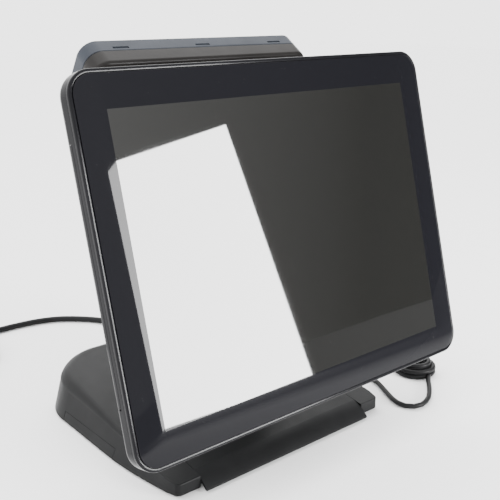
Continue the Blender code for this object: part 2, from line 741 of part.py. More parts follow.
def make_neck_covers():
    """Two half shells that meet in a slanting seam down the neck's sides, with a mouth for the ears."""
    far = 2 * HINGE_HEIGHT
    facing = pi - SCREEN_TILT
    ear_lean = atan(EAR_FOOT / (NECK_TO_BRACKET + NECK_RADIUS))
    ear_foot = sqrt(EAR_FOOT**2 + (NECK_TO_BRACKET + NECK_RADIUS) ** 2)
    ear_spread = ear_lean + acos(EAR_EYE / ear_foot) - acos(EAR_EYE / (NECK_RADIUS - WALL))
    margin = radians(4)
    mouth_start = facing - TILT_BACK - ear_spread - margin
    mouth_end = facing + TILT_FORWARD + ear_spread + margin
    foot_middle = NECK_FOOT_FRONT + (NECK_FOOT_BACK - NECK_FOOT_FRONT) * NECK_SPLIT
    down = (Vector((foot_middle, top_height(foot_middle))) - Vector(HINGE)).normalized()
    across = Vector((-down.y, down.x))
    for name, sign in (("neck_rear_cover", 1), ("neck_front_cover", -1)):
        cover = flat_solid(name, neck_outline(0), -NECK_HALF_WIDTH, NECK_HALF_WIDTH, BASE, MATTE_BLACK)
        hollow = flat_solid(
            name + "_hollow", neck_outline(WALL), -NECK_HALF_WIDTH + WALL, NECK_HALF_WIDTH - WALL,
            BASE, None,
        )
        cut(cover, hollow)
        mouth = [HINGE] + arc(HINGE, far / 4, mouth_start, mouth_end, 8)
        cut(cover, flat_solid(
            name + "_mouth", mouth, -CHEEK_INSIDE + GAP, CHEEK_INSIDE - GAP, BASE, None
        ))
        middle = Vector(HINGE) + across * sign * GAP / 2
        half = [
            middle - down * far, middle + down * far,
            middle + down * far + across * sign * far, middle - down * far + across * sign * far,
        ]
        keep_inside(cover, flat_solid(
            name + "_half", [tuple(p) for p in half], -far, far, BASE, None
        ))


# ---- inside the base -------------------------------------------------------------------------------
def make_base_electronics():
    board_front, board_back = BASE_DEPTH - IO_BOARD_FRONT, BASE_DEPTH - IO_BOARD_BACK
    board_top = INSIDE_FLOOR + IO_BOARD_THICKNESS
    ports_low, face = board_top + GAP, BASE_DEPTH - PORT_SETBACK
    block(
        "power_supply", (-TOP_HALF_WIDTH + POWER_SUPPLY_CLEARANCE, POWER_SUPPLY_FRONT, INSIDE_FLOOR),
        (
            -NECK_HALF_WIDTH - POWER_SUPPLY_TO_NECK, board_front - POWER_SUPPLY_CLEARANCE,
            top_height(POWER_SUPPLY_FRONT) - WALL - POWER_SUPPLY_HEADROOM,
        ),
        BASE, ALUMINIUM, 0.002, "Y", 1,
    )
    block(
        "io_board", (-PORT_BAY_HALF + WALL / 2, board_front, INSIDE_FLOOR),
        (PORT_BAY_HALF - WALL / 2, board_back, board_top), BASE, BOARD_GREEN,
    )
    for name, (x, (width, height), openings) in PORTS.items():
        port = block(
            name, (x - width / 2, face - PORT_DEPTH, ports_low),
            (x + width / 2, face, ports_low + height), BASE, STEEL,
        )
        for number, (hole_width, hole_height, depth, lift) in enumerate(openings):
            middle = ports_low + height / 2 + lift
            cut(port, block(
                f"{name}_opening_{number}",
                (x - hole_width / 2 - GAP, face - depth, middle - hole_height / 2 - GAP),
                (x + hole_width / 2 + GAP, face + depth, middle + hole_height / 2 + GAP), BASE, None,
            ))
    width, depth, height = INLET_SIZE
    low = INSIDE_FLOOR + INLET_LIFT
    inlet = block(
        "power_inlet", (INLET_X - width / 2, face - depth, low),
        (INLET_X + width / 2, face, low + height), BASE, MATTE_BLACK, 0.002, "Y", 2,
    )
    centre = low + height / 2
    width, depth, height = INLET_RECESS
    cut(inlet, block(
        "power_inlet_recess", (INLET_X - width / 2 - GAP, face - depth, centre - height / 2 - GAP),
        (INLET_X + width / 2 + GAP, face + depth, centre + height / 2 + GAP), BASE, None,
    ))
    make_mains_connector(centre, face)
    make_data_plug(ports_low, face)


def make_mains_connector(height, face):
    """The female plug in the inlet, with a tapered strain relief."""
    width, length, tall = CONNECTOR_BODY
    front = face + CONNECTOR_STANDOFF
    back = front + length
    connector = block(
        "mains_connector", (INLET_X - width / 2, front, height - tall / 2),
        (INLET_X + width / 2, back, height + tall / 2), BASE, CORD_BLACK, 0.003, "Y", 2,
    )
    nose_x, nose_z = INLET_RECESS[0] / 2, INLET_RECESS[2] / 2
    join(connector, block(
        "connector_nose", (INLET_X - nose_x, face - CONNECTOR_NOSE, height - nose_z),
        (INLET_X + nose_x, front + WALL, height + nose_z), BASE, None,
    ))
    join(connector, rod(
        "connector_boot", (INLET_X, back - BOOT_WALL, height), (INLET_X, back + BOOT_LENGTH, height),
        BOOT_RADIUS, BASE, None, 16, MAINS_DIAMETER / 2 + BOOT_WALL,
    ))


def make_data_plug(port_low, face):
    x, (_, port_height), openings = PORTS["lan_port"]
    depth = openings[0][2]
    height = port_low + port_height / 2
    width, length, tall = DATA_PLUG_SIZE
    plug = block(
        "data_plug", (x - width / 2, face - depth + GAP, height - tall / 2),
        (x + width / 2, face + length, height + tall / 2), BASE, GREY_BLACK,
    )
    join(plug, rod(
        "data_boot", (x, face + length - DATA_BOOT_WALL, height),
        (x, face + length + DATA_BOOT_LENGTH - DATA_BOOT_WALL, height),
        DATA_BOOT_RADIUS, BASE, None, 12, DATA_DIAMETER / 2 + DATA_BOOT_WALL,
    ))


# ---- cords ---------------------------------------------------------------------------------------
def smooth_path(points, spacing):
    """Points read at an even spacing from a smooth curve through the route's own points."""
    knots = [Vector(point) for point in points]
    ends = [2 * knots[0] - knots[1]] + knots + [2 * knots[-1] - knots[-2]]
    dense = []
    for before, a, b, after in zip(ends, ends[1:], ends[2:], ends[3:]):
        for i in range(20):
            t = i / 20
            dense.append(
                0.5 * (
                    2 * a + (b - before) * t + (2 * before - 5 * a + 4 * b - after) * t * t
                    + (3 * a - before - 3 * b + after) * t**3
                )
            )
    dense.append(knots[-1])
    length = sum((q - p).length for p, q in zip(dense, dense[1:]))
    count = max(2, round(length / spacing))
    step, walked, path = length / count, 0.0, [dense[0]]
    for p, q in zip(dense, dense[1:]):
        gone = (q - p).length
        while walked + gone >= step * len(path) and len(path) < count:
            path.append(p.lerp(q, (step * len(path) - walked) / gone))
        walked += gone
    return path + [dense[-1]]


def tube(name, route, diameter, resolution):
    curve = bpy.data.curves.new(name, "CURVE")
    curve.dimensions = "3D"
    curve.bevel_depth = diameter / 2
    curve.bevel_resolution = resolution
    curve.use_fill_caps = True
    path = smooth_path(route, 2.6 * diameter)
    spline = curve.splines.new("POLY")
    spline.points.add(len(path) - 1)
    for point, place in zip(spline.points, path):
        point.co = (*place, 1)
    return from_curve(name, curve, BASE, CORD_BLACK)


MAINS_ROUTE = [
    (0.028, 0.2802, 0.0155), (0.0285, 0.292, 0.0148), (0.030, 0.305, 0.0110), (0.0315, 0.320, 0.0060),
    (0.0312, 0.336, 0.0039), (0.0275, 0.353, 0.0038), (0.018, 0.371, 0.0038), (0.002, 0.389, 0.0038),
    (-0.016, 0.4035, 0.0038), (-0.038, 0.4125, 0.0038), (-0.063, 0.4165, 0.0038),
    (-0.090, 0.4170, 0.0038), (-0.115, 0.4160, 0.0038), (-0.1364, 0.4155, 0.0038),
]
DATA_ROUTE = [
    (0.052, 0.2541, 0.0130), (0.0525, 0.264, 0.0118), (0.056, 0.277, 0.0075), (0.064, 0.289, 0.0038),
    (0.079, 0.298, 0.0028), (0.098, 0.299, 0.0028), (0.116, 0.292, 0.0028), (0.131, 0.278, 0.0028),
    (0.142, 0.259, 0.0028), (0.150, 0.235, 0.0028), (0.155, 0.205, 0.0028), (0.1575, 0.170, 0.0028),
    (0.159, 0.135, 0.0028), (0.1605, 0.100, 0.0028), (0.161, 0.068, 0.0028), (0.158, 0.038, 0.0028),
    (0.149, 0.017, 0.0028), (0.141, 0.000, 0.0028), (0.1385, -0.013, 0.0028), (0.1425, -0.022, 0.0028),
    (0.153, -0.0262, 0.0028), (0.168, -0.0225, 0.0028), (0.182, -0.0135, 0.0028),
    (0.194, -0.0035, 0.0028), (0.2055, 0.0075, 0.0040),
]


def make_cords():
    tube("mains_lead", MAINS_ROUTE, MAINS_DIAMETER, 3)
    make_coil()
    make_mains_plug()
    tube("data_lead", DATA_ROUTE, DATA_DIAMETER, 2)
    make_hank()


def make_coil():
    """The outer shape of the wound mains lead: a turned ring of three turns by two."""
    low, high = GAP, GAP + COIL_LAYERS * MAINS_DIAMETER
    inner, outer = COIL_MEAN_RADIUS - COIL_HALF_WIDTH, COIL_MEAN_RADIUS + COIL_HALF_WIDTH
    sides = 40
    ring = [(inner, low), (outer, low), (outer, high), (inner, high)]
    rings = [
        [
            (
                COIL_CENTRE[0] + r * cos(2 * pi * i / sides),
                COIL_CENTRE[1] + r * sin(2 * pi * i / sides),
                z,
            )
            for r, z in ring
        ]
        for i in range(sides)
    ]
    mesh = loft_mesh("mains_coil", rings + rings[:1], close_end=False)
    shape = bmesh.new()
    shape.from_mesh(mesh)
    bmesh.ops.remove_doubles(shape, verts=shape.verts, dist=1e-6)
    add_bmesh("mains_coil", shape, BASE, CORD_BLACK)


def make_mains_plug():
    """The wall plug lies beside the coil, its flat side down, with two blades and an earth pin."""
    x = COIL_CENTRE[0] - COIL_OUTER_TURN
    outer = COIL_MEAN_RADIUS + COIL_HALF_WIDTH
    boot_tip = MAINS_DIAMETER / 2 + BOOT_WALL
    start = COIL_CENTRE[1] - sqrt(outer**2 - (COIL_OUTER_TURN - boot_tip) ** 2) - GAP
    width, length, tall = PLUG_SIZE
    height = GAP + tall / 2
    boot_end = start - PLUG_BOOT_LENGTH
    body_end = boot_end - length
    plug = block(
        "mains_plug", (x - width / 2, body_end, GAP), (x + width / 2, boot_end, GAP + tall), BASE,
        CORD_BLACK, 0.006, "Y", 3,
    )
    join(plug, rod(
        "plug_boot", (x, start, height), (x, boot_end - BOOT_WALL, height), boot_tip, BASE, None, 16,
        PLUG_BOOT_RADIUS,
    ))
    thick, long, wide = BLADE_SIZE
    for sign in (-1, 1):
        middle = x + sign * BLADE_SPACING / 2
        join(plug, block(
            f"plug_blade_{sign}", (middle - thick / 2, body_end - long, height + BLADE_LIFT - wide / 2),
            (middle + thick / 2, body_end + BOOT_WALL, height + BLADE_LIFT + wide / 2), BASE, None,
        ))
    earth = height - EARTH_PIN_DROP
    join(plug, rod(
        "plug_earth", (x, body_end - EARTH_PIN_LENGTH, earth), (x, body_end + BOOT_WALL, earth),
        EARTH_PIN_RADIUS, BASE, None, 12,
    ))


def make_hank():
    """The tied bundle of the data lead: a flat outline with round ends, and its tie."""
    radius = HANK_WIDTH / 2
    front, back = HANK_FRONT + radius, HANK_FRONT + HANK_LENGTH - radius
    tie_half = TIE_WIDTH / 2
    middle = (front + back) / 2
    low, high = GAP, GAP + HANK_HEIGHT
    beyond = HANK_WIDTH
    outline = arc((HANK_X, front), radius, pi, 2 * pi, 10) + arc((HANK_X, back), radius, 0, pi, 10)
    hank = flat_solid("data_hank", outline, low, high, BASE, CORD_BLACK, PLAN_VIEW)
    for name, z_low, z_high in (
        ("waist_low", low - beyond, low + TIE_THICKNESS),
        ("waist_high", high - TIE_THICKNESS, high + beyond),
    ):
        cut(hank, block(
            name, (HANK_X - beyond, middle - tie_half - GAP, z_low),
            (HANK_X + beyond, middle + tie_half + GAP, z_high), BASE, None,
        ))
    tie = block(
        "hank_tie", (HANK_X - radius - TIE_THICKNESS, middle - tie_half, low + GAP),
        (HANK_X + radius + TIE_THICKNESS, middle + tie_half, high - GAP), BASE, CORD_BLACK,
    )
    cut(tie, block(
        "hank_tie_hole", (HANK_X - radius - GAP, middle - beyond, low + TIE_THICKNESS - GAP),
        (HANK_X + radius + GAP, middle + beyond, high - TIE_THICKNESS + GAP), BASE, None,
    ))
    make_data_end_plug(back)


def make_data_end_plug(back):
    """The lead leaves the hank's outer turn on the right and runs straight back into its plug."""
    radius = HANK_WIDTH / 2
    x = HANK_X + radius - DATA_DIAMETER / 2
    boot_tip = DATA_DIAMETER / 2 + DATA_BOOT_WALL
    start = back + sqrt(radius**2 - (radius - DATA_DIAMETER / 2 - boot_tip) ** 2) + GAP
    body = start + DATA_BOOT_LENGTH - DATA_BOOT_WALL
    width, _, tall = DATA_PLUG_SIZE
    plug = block(
        "data_end_plug", (x - width / 2, body, DATA_END_HEIGHT - tall / 2),
        (x + width / 2, body + DATA_END_LENGTH, DATA_END_HEIGHT + tall / 2), BASE, GREY_BLACK,
    )
    join(plug, rod(
        "end_boot", (x, start, DATA_END_HEIGHT), (x, start + DATA_BOOT_LENGTH, DATA_END_HEIGHT),
        boot_tip, BASE, None, 12, DATA_BOOT_RADIUS,
    ))


# ---- head ------------------------------------------------------------------------------------------
def make_front():
    round_slab(
        "touch_glass", GLASS_WIDTH, GLASS_HEIGHT, GLASS_CORNER, 0, GLASS_THICKNESS, HEAD, GLASS_BLACK
    )
    rim = round_slab(
        "front_frame", FRAME_WIDTH, FRAME_HEIGHT, FRAME_CORNER, RIM_SETBACK, RIM_BACK, HEAD, GLOSS_BLACK
    )
    inner = WALL + 2 * GAP
    join(rim, round_slab(
        "frame_shelf", FRAME_WIDTH - 2 * inner, FRAME_HEIGHT - 2 * inner, FRAME_CORNER - inner,
        RIM_BACK - SHELF_OVERLAP, SHELF_BACK, HEAD, None,
    ))
    cut(rim, round_slab(
        "glass_pocket", GLASS_WIDTH + 2 * GAP, GLASS_HEIGHT + 2 * GAP, GLASS_CORNER + GAP,
        -GLASS_SEAT, GLASS_SEAT, HEAD, None,
    ))
    cut(rim, block(
        "lcd_window", (-LCD_WIDTH / 2 - GAP, -GLASS_SEAT, -LCD_HEIGHT / 2 - GAP - LCD_DROP),
        (LCD_WIDTH / 2 + GAP, LCD_BACK, LCD_HEIGHT / 2 + GAP - LCD_DROP), HEAD, None,
    ))
    block(
        "lcd_module", (-LCD_WIDTH / 2, GLASS_SEAT, -LCD_HEIGHT / 2 - LCD_DROP),
        (LCD_WIDTH / 2, LCD_BACK, LCD_HEIGHT / 2 - LCD_DROP), HEAD, SCREEN_GREY,
    )


def housing_rings():
    """The rear housing's outer skin: the slab's side wall, its round edge, then the raised middle."""
    sections = [(HOUSING_FRONT, 0.0), (SLAB_STRAIGHT, 0.0)]
    for step in range(1, 5):
        turn = pi / 2 * step / 4
        sections.append((
            SLAB_STRAIGHT + SLAB_EDGE_RADIUS * sin(turn), SLAB_EDGE_RADIUS * (1 - cos(turn))
        ))
    sections += [
        (SLAB_BACK, HUMP_FOOT_INSET),
        (HUMP_DEPTH - HUMP_EDGE, HUMP_TOP_INSET - HUMP_EDGE),
        (HUMP_DEPTH, HUMP_TOP_INSET),
    ]
    rings = []
    for depth, inwards in sections:
        corner = max(FRAME_CORNER - inwards, HUMP_CORNER)
        outline = rounded_rectangle(FRAME_WIDTH / 2 - inwards, FRAME_HEIGHT / 2 - inwards, corner)
        rings.append([(x, depth, z) for x, z in outline])
    return rings


def make_rear_housing():
    housing = shell(
        add("rear_housing", loft_mesh("rear_housing", housing_rings()), HEAD, GLOSS_BLACK), WALL
    )
    cover = shell(
        add("side_bay_cover", loft_mesh("side_bay_cover", housing_rings()), HEAD, GLOSS_BLACK), WALL
    )
    outside = FRAME_WIDTH / 2 + WALL
    for name, slack in (("side_cover_bounds", 0.0), ("side_bay", GAP)):
        bounds = block(
            name, (-outside, SIDE_BAY_START - slack, -SIDE_BAY_LENGTH / 2 - slack),
            (-FRAME_WIDTH / 2 + SIDE_BAY_WRAP + slack, SLAB_BACK + WALL, SIDE_BAY_LENGTH / 2 + slack),
            HEAD, None,
        )
        if slack:
            cut(housing, bounds)
        else:
            keep_inside(cover, bounds)
    inside, outside = HUMP_DEPTH - 2 * WALL, HUMP_DEPTH + WALL
    left, right = DRIVE_BAY_X
    low, high = DRIVE_BAY_Z
    cut(housing, block("drive_bay", (left, inside, low), (right, outside, high), HEAD, None))
    block(
        "drive_bay_cover", (left + GAP, HUMP_DEPTH - WALL, low + GAP),
        (right - GAP, HUMP_DEPTH, high - GAP), HEAD, MATTE_BLACK,
    )
    vent_left = VENT_FROM_EDGE - HUMP_HALF_WIDTH
    for i in range(VENT_COUNT):
        z = VENT_LOW + VENT_PITCH * i
        cut(housing, block(
            f"vent_{i}", (vent_left, inside, z), (vent_left + VENT_WIDTH, outside, z + VENT_HEIGHT),
            HEAD, None,
        ))
    for number, (x, z) in enumerate(bracket_screw_places(), 1):
        cut(housing, rod(
            f"housing_screw_hole_{number}", (x, inside, z), (x, outside, z), SCREW_RADIUS + GAP,
            HEAD, None, 12,
        ))
    cut(housing, rod(
        "button_hole", (BUTTON_X, SLAB_BACK - 2 * WALL, BUTTON_Z), (BUTTON_X, SLAB_BACK + WALL, BUTTON_Z),
        BUTTON_RADIUS + GAP, HEAD, None, 24,
    ))


def bracket_screw_places():
    reach_x, reach_z = BRACKET_HALF_WIDTH - BRACKET_SCREW_INSET, BRACKET_HALF_HEIGHT - BRACKET_SCREW_INSET
    return [(x, z - HINGE_BELOW_CENTRE) for x in (-reach_x, reach_x) for z in (-reach_z, reach_z)]


def make_power_button():
    """A round cap with a flange that keeps it behind the housing's wall."""
    seat = SLAB_BACK - WALL - GAP
    button = rod(
        "power_button", (BUTTON_X, seat - BUTTON_STEM, BUTTON_Z),
        (BUTTON_X, SLAB_BACK + BUTTON_PROUD, BUTTON_Z), BUTTON_RADIUS, HEAD, MATTE_BLACK, 24,
    )
    join(button, rod(
        "button_flange", (BUTTON_X, seat - 2 * BUTTON_STEM, BUTTON_Z), (BUTTON_X, seat, BUTTON_Z),
        BUTTON_RADIUS + BUTTON_FLANGE, HEAD, None, 24,
    ))


def make_head_inside():
    """The chassis behind the screen, and the boards, drive and speakers behind that."""
    edge = 2 * BRACKET_CORNER / 3
    reach_x, reach_z = LCD_WIDTH / 2 + edge / 2, LCD_HEIGHT / 2 + edge / 2
    chassis = block(
        "chassis_plate", (-reach_x, CHASSIS_FRONT, -reach_z), (reach_x, CHASSIS_BACK, reach_z),
        HEAD, STEEL, edge, "Y", 2,
    )
    cut(chassis, rod(
        "switch_hole", (BUTTON_X, LCD_BACK, BUTTON_Z), (BUTTON_X, SLAB_BACK, BUTTON_Z),
        BUTTON_RADIUS + 2 * BUTTON_FLANGE, HEAD, None, 24,
    ))
    board_x, board_z = FRAME_WIDTH / 2 - BOARD_FROM_SIDE, FRAME_HEIGHT / 2 - BOARD_FROM_TOP
    board_back = SLAB_BACK + BOARD_THICKNESS
    on_board = board_back + GAP
    block("main_board", (-board_x, SLAB_BACK, -board_z), (board_x, board_back, board_z), HEAD, BOARD_GREEN)
    make_heat_sink(on_board, board_z - HEAT_SINK_BELOW_TOP)
    low = MEMORY_ABOVE_EDGE - board_z
    block(
        "memory_module", (MEMORY_X[0], on_board, low),
        (MEMORY_X[1], on_board + MEMORY_THICKNESS, low + MEMORY_HEIGHT), HEAD, BOARD_GREEN,
    )
    drive_back = HUMP_DEPTH - WALL - DRIVE_BEHIND_COVER
    block(
        "storage_drive",
        (DRIVE_BAY_X[0] + DRIVE_CLEARANCE, drive_back - DRIVE_THICKNESS, DRIVE_BAY_Z[0] + DRIVE_CLEARANCE),
        (DRIVE_BAY_X[1] - DRIVE_CLEARANCE, drive_back, DRIVE_BAY_Z[1] - DRIVE_CLEARANCE), HEAD, ALUMINIUM,
    )
    top = FRAME_HEIGHT / 2 - CONTROLLER_BELOW_EDGE
    controller_back = SLAB_BACK - GAP
    block(
        "touch_controller",
        (CONTROLLER_X[0], controller_back - BOARD_THICKNESS, top - CONTROLLER_HEIGHT),
        (CONTROLLER_X[1], controller_back, top), HEAD, BOARD_GREEN,
    )
    low = SPEAKER_FROM_BOTTOM - FRAME_HEIGHT / 2
    for side, sign in (("left", -1), ("right", 1)):
        near, far = sorted(sign * x for x in SPEAKER_X)
        block(
            f"speaker_{side}", (near, SLAB_BACK - SPEAKER_INTO_SLAB, low),
            (far, SLAB_BACK - SPEAKER_INTO_SLAB + SPEAKER_DEPTH, low + SPEAKER_HEIGHT),
            HEAD, MATTE_BLACK, 0.003, "X", 2,
        )


def make_heat_sink(front, top):
    left, right = HEAT_SINK_X
    back = front + HEAT_SINK_DEPTH
    sink = block(
        "heat_sink", (left, front, top - HEAT_SINK_HEIGHT), (right, back, top), HEAD, ALUMINIUM
    )
    for i in range(1, FIN_COUNT):
        x = left + (right - left) / FIN_COUNT * i
        cut(sink, block(
            f"fin_gap_{i}", (x - FIN_GAP / 2, front + HEAT_SINK_BASE, top - HEAT_SINK_HEIGHT - GAP),
            (x + FIN_GAP / 2, back + GAP, top + GAP), HEAD, None,
        ))


def make_head_bracket():
    """A steel plate screwed to the housing, with two ears on the hinge shaft."""
    front, back = HUMP_DEPTH + GAP, HUMP_DEPTH + GAP + PLATE
    low, high = -HINGE_BELOW_CENTRE - BRACKET_HALF_HEIGHT, -HINGE_BELOW_CENTRE + BRACKET_HALF_HEIGHT
    bracket = block(
        "head_bracket", (-BRACKET_HALF_WIDTH, front, low), (BRACKET_HALF_WIDTH, back, high),
        HEAD, STEEL, BRACKET_CORNER, "Y", 2,
    )
    axis = (HINGE_DEPTH, -HINGE_BELOW_CENTRE)
    outline = eye_outline(
        (back - PLATE / 2, axis[1] - EAR_FOOT), (back - PLATE / 2, axis[1] + EAR_FOOT), axis, EAR_EYE
    )
    for side, sign in (("left", -1), ("right", 1)):
        near, far = sorted((sign * (EAR_OUTSIDE - EAR_THICKNESS), sign * EAR_OUTSIDE))
        join(bracket, flat_solid(f"ear_{side}", outline, near, far, HEAD, None))
    cut(bracket, rod(
        "ear_hole", (-BRACKET_HALF_WIDTH, *axis), (BRACKET_HALF_WIDTH, *axis), SHAFT_RADIUS + GAP,
        HEAD, None, 24,
    ))
    for number, (x, z) in enumerate(bracket_screw_places(), 1):
        cut(bracket, rod(
            f"bracket_hole_{number}", (x, front - PLATE, z), (x, back + PLATE, z), SCREW_RADIUS + GAP,
            HEAD, None, 12,
        ))
        screw = rod(
            f"bracket_screw_{number}", (x, back + GAP, z), (x, back + GAP + SCREW_HEAD_HEIGHT, z),
            SCREW_HEAD, HEAD, STEEL, 16,
        )
        join(screw, rod(
            f"screw_shank_{number}", (x, HUMP_DEPTH - WALL - SCREW_BITE, z),
            (x, back + SCREW_HEAD_HEIGHT / 2, z), SCREW_RADIUS, HEAD, None, 12,
        ))


# ---- customer display ----------------------------------------------------------------------------
OPERATOR_FACE = DISPLAY_HINGE_GAP
SEAM = OPERATOR_FACE + DISPLAY_OPERATOR_SHELL
CUSTOMER_FACE = SEAM + DISPLAY_CUSTOMER_SHELL


def display_skin(name, sections):
    """One shell's outer skin, from the seam to its face."""
    rings = []
    for depth, inwards in sections:
        outline = rounded_rectangle(
            DISPLAY_WIDTH / 2 - inwards, DISPLAY_HEIGHT / 2 - inwards, DISPLAY_CORNER - inwards / 2
        )
        rings.append([(x, depth, z) for x, z in outline])
    return loft_mesh(name, rings)


def make_display_arm():
    """A plastic arm from the housing's back up to the display's hinge."""
    axis = (DISPLAY_HINGE_DEPTH, DISPLAY_HINGE_UP)
    foot_y = HUMP_DEPTH + GAP
    foot_high = HUMP_HALF_HEIGHT - ARM_FOOT_FROM_EDGE
    outline = eye_outline(
        (foot_y, foot_high - ARM_FOOT_HEIGHT), (foot_y, foot_high), axis, DISPLAY_BARREL, 12
    )
    arm = flat_solid("display_arm", outline, -ARM_HALF_WIDTH, ARM_HALF_WIDTH, HEAD, MATTE_BLACK)
    hole = rod(
        "arm_hole", (-2 * ARM_HALF_WIDTH, *axis), (2 * ARM_HALF_WIDTH, *axis), DISPLAY_PIN_RADIUS + GAP,
        HEAD, None, 20,
    )
    cut(arm, hole)
    reach = ARM_HALF_WIDTH + GAP + LUG_WIDTH
    rod("display_pin", (-reach, *axis), (reach, *axis), DISPLAY_PIN_RADIUS, HEAD, STEEL, 20)


def make_display():
    operator = shell(
        add(
            "display_operator_shell",
            display_skin("display_operator_shell", (
                (SEAM - GAP / 2, 0.0), (OPERATOR_FACE + DISPLAY_CHAMFER, 0.0),
                (OPERATOR_FACE + DISPLAY_CHAMFER * 0.3, DISPLAY_CHAMFER * 0.3),
                (OPERATOR_FACE, DISPLAY_CHAMFER),
            )),
            DISPLAY, GREY_BLACK,
        ),
        DISPLAY_WALL,
    )
    lug = eye_outline(
        (OPERATOR_FACE + DISPLAY_WALL / 2, LUG_FOOT), (OPERATOR_FACE + DISPLAY_WALL / 2, -LUG_FOOT),
        (0, 0), DISPLAY_BARREL,
    )
    for side, sign in (("left", -1), ("right", 1)):
        near, far = sorted((sign * (ARM_HALF_WIDTH + GAP), sign * (ARM_HALF_WIDTH + GAP + LUG_WIDTH)))
        join(operator, flat_solid(f"lug_{side}", lug, near, far, DISPLAY, None))
    cut(operator, rod(
        "lug_hole", (-2 * ARM_HALF_WIDTH, 0, 0), (2 * ARM_HALF_WIDTH, 0, 0), DISPLAY_PIN_RADIUS + GAP,
        DISPLAY, None, 20,
    ))
    customer = shell(
        add(
            "display_customer_shell",
            display_skin("display_customer_shell", (
                (SEAM + GAP / 2, 0.0), (CUSTOMER_FACE - 0.002, 0.0),
                (CUSTOMER_FACE - 0.0006, 0.0006), (CUSTOMER_FACE, 0.002),
            )),
            DISPLAY, GREY_BLACK,
        ),
        DISPLAY_WALL,
    )
    half_width, half_height = WINDOW_WIDTH / 2, WINDOW_HEIGHT / 2
    cut(customer, block(
        "window_hole", (-half_width - GAP, CUSTOMER_FACE - 2 * DISPLAY_WALL, -half_height - GAP),
        (half_width + GAP, CUSTOMER_FACE + DISPLAY_WALL, half_height + GAP), DISPLAY, None,
        WINDOW_CORNER, "Y", 2,
    ))
    block(
        "display_window", (-half_width, CUSTOMER_FACE - DISPLAY_WALL, -half_height),
        (half_width, CUSTOMER_FACE - WINDOW_SETBACK, half_height), DISPLAY, DISPLAY_GLASS,
        WINDOW_CORNER, "Y", 2,
    )
    block(
        "display_module", (-half_width - MODULE_OVERLAP, SEAM - DISPLAY_WALL, MODULE_INSET - half_height),
        (
            half_width + MODULE_OVERLAP, CUSTOMER_FACE - DISPLAY_WALL - MODULE_INSET / 2,
            half_height - MODULE_INSET,
        ),
        DISPLAY, SCREEN_GREY,
    )


make_base_cover()
make_base_front_cover()
make_base_plate()
make_neck_frame()
make_hinge()
make_neck_covers()
make_base_electronics()
make_front()
make_rear_housing()
make_power_button()
make_head_inside()
make_head_bracket()
make_display_arm()
make_display()
make_cords()
bpy.context.view_layer.update()
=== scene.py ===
"""Looks for the touch-screen point-of-sale terminal: camera, light, cords, shapes and finishes.

Metres, +Z up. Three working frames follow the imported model: base (y from the base's front edge),
head (y from the glass's front into the head, z up the panel) and display (y to the customer).
"""

import json
from math import atan2, cos, pi, radians, sin, sqrt, tan
import bmesh
import bpy
from mathutils import Matrix, Vector

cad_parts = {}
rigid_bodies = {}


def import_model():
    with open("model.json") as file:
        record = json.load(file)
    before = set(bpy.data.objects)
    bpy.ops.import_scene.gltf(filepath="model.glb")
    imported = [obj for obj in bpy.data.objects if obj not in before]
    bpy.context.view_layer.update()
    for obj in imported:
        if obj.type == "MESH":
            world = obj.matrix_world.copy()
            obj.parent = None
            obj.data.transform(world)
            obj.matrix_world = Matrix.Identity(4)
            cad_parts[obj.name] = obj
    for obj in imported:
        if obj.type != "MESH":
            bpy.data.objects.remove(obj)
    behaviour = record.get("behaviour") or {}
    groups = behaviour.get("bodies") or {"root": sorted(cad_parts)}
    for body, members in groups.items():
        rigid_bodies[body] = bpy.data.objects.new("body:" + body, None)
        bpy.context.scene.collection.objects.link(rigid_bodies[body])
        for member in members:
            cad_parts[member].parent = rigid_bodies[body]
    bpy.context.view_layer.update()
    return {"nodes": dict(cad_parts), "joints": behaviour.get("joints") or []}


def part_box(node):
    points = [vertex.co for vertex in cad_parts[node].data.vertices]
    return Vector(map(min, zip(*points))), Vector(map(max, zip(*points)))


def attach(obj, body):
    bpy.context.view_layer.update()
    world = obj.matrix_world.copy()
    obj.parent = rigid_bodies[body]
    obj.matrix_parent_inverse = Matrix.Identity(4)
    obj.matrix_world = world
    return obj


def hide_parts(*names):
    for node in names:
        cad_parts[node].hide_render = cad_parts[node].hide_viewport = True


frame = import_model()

NODES = frame["nodes"]
JOINTS = {joint["name"]: joint for joint in frame["joints"]}

# ---- sizes shared with the part ----
GAP = 0.0003
WALL = 0.0025
GLASS_WIDTH, GLASS_HEIGHT, GLASS_THICKNESS, GLASS_CORNER = 0.350, 0.276, 0.003, 0.015
PICTURE_WIDTH, PICTURE_HEIGHT, PICTURE_MIDDLE_Z = 0.3041, 0.2281, -0.001
RIM_WIDTH, RIM_SETBACK, RIM_DEPTH, SHELF_DEPTH = 0.0035, 0.0007, 0.0034, 0.0024
FRAME_WIDTH = GLASS_WIDTH + 2 * RIM_WIDTH
FRAME_HEIGHT = GLASS_HEIGHT + 2 * RIM_WIDTH
FRAME_CORNER = GLASS_CORNER + RIM_WIDTH
RIM_BACK = RIM_SETBACK + RIM_DEPTH
SHELF_BACK = RIM_BACK + SHELF_DEPTH
HOUSING_FRONT = RIM_BACK + GAP
SLAB_STRAIGHT, SLAB_EDGE_RADIUS = 0.011, 0.009
SLAB_BACK = SLAB_STRAIGHT + SLAB_EDGE_RADIUS
HUMP_FOOT_INSET, HUMP_TOP_INSET, HUMP_DEPTH, HUMP_CORNER = 0.026, 0.042, 0.046, 0.012
HUMP_HALF_WIDTH = FRAME_WIDTH / 2 - HUMP_TOP_INSET
SIDE_BAY_LENGTH, SIDE_BAY_START, SIDE_BAY_WRAP = 0.185, 0.009, 0.0155
BUTTON_RADIUS, BUTTON_FROM_SIDE, BUTTON_FROM_BOTTOM = 0.005, 0.0377, 0.0177
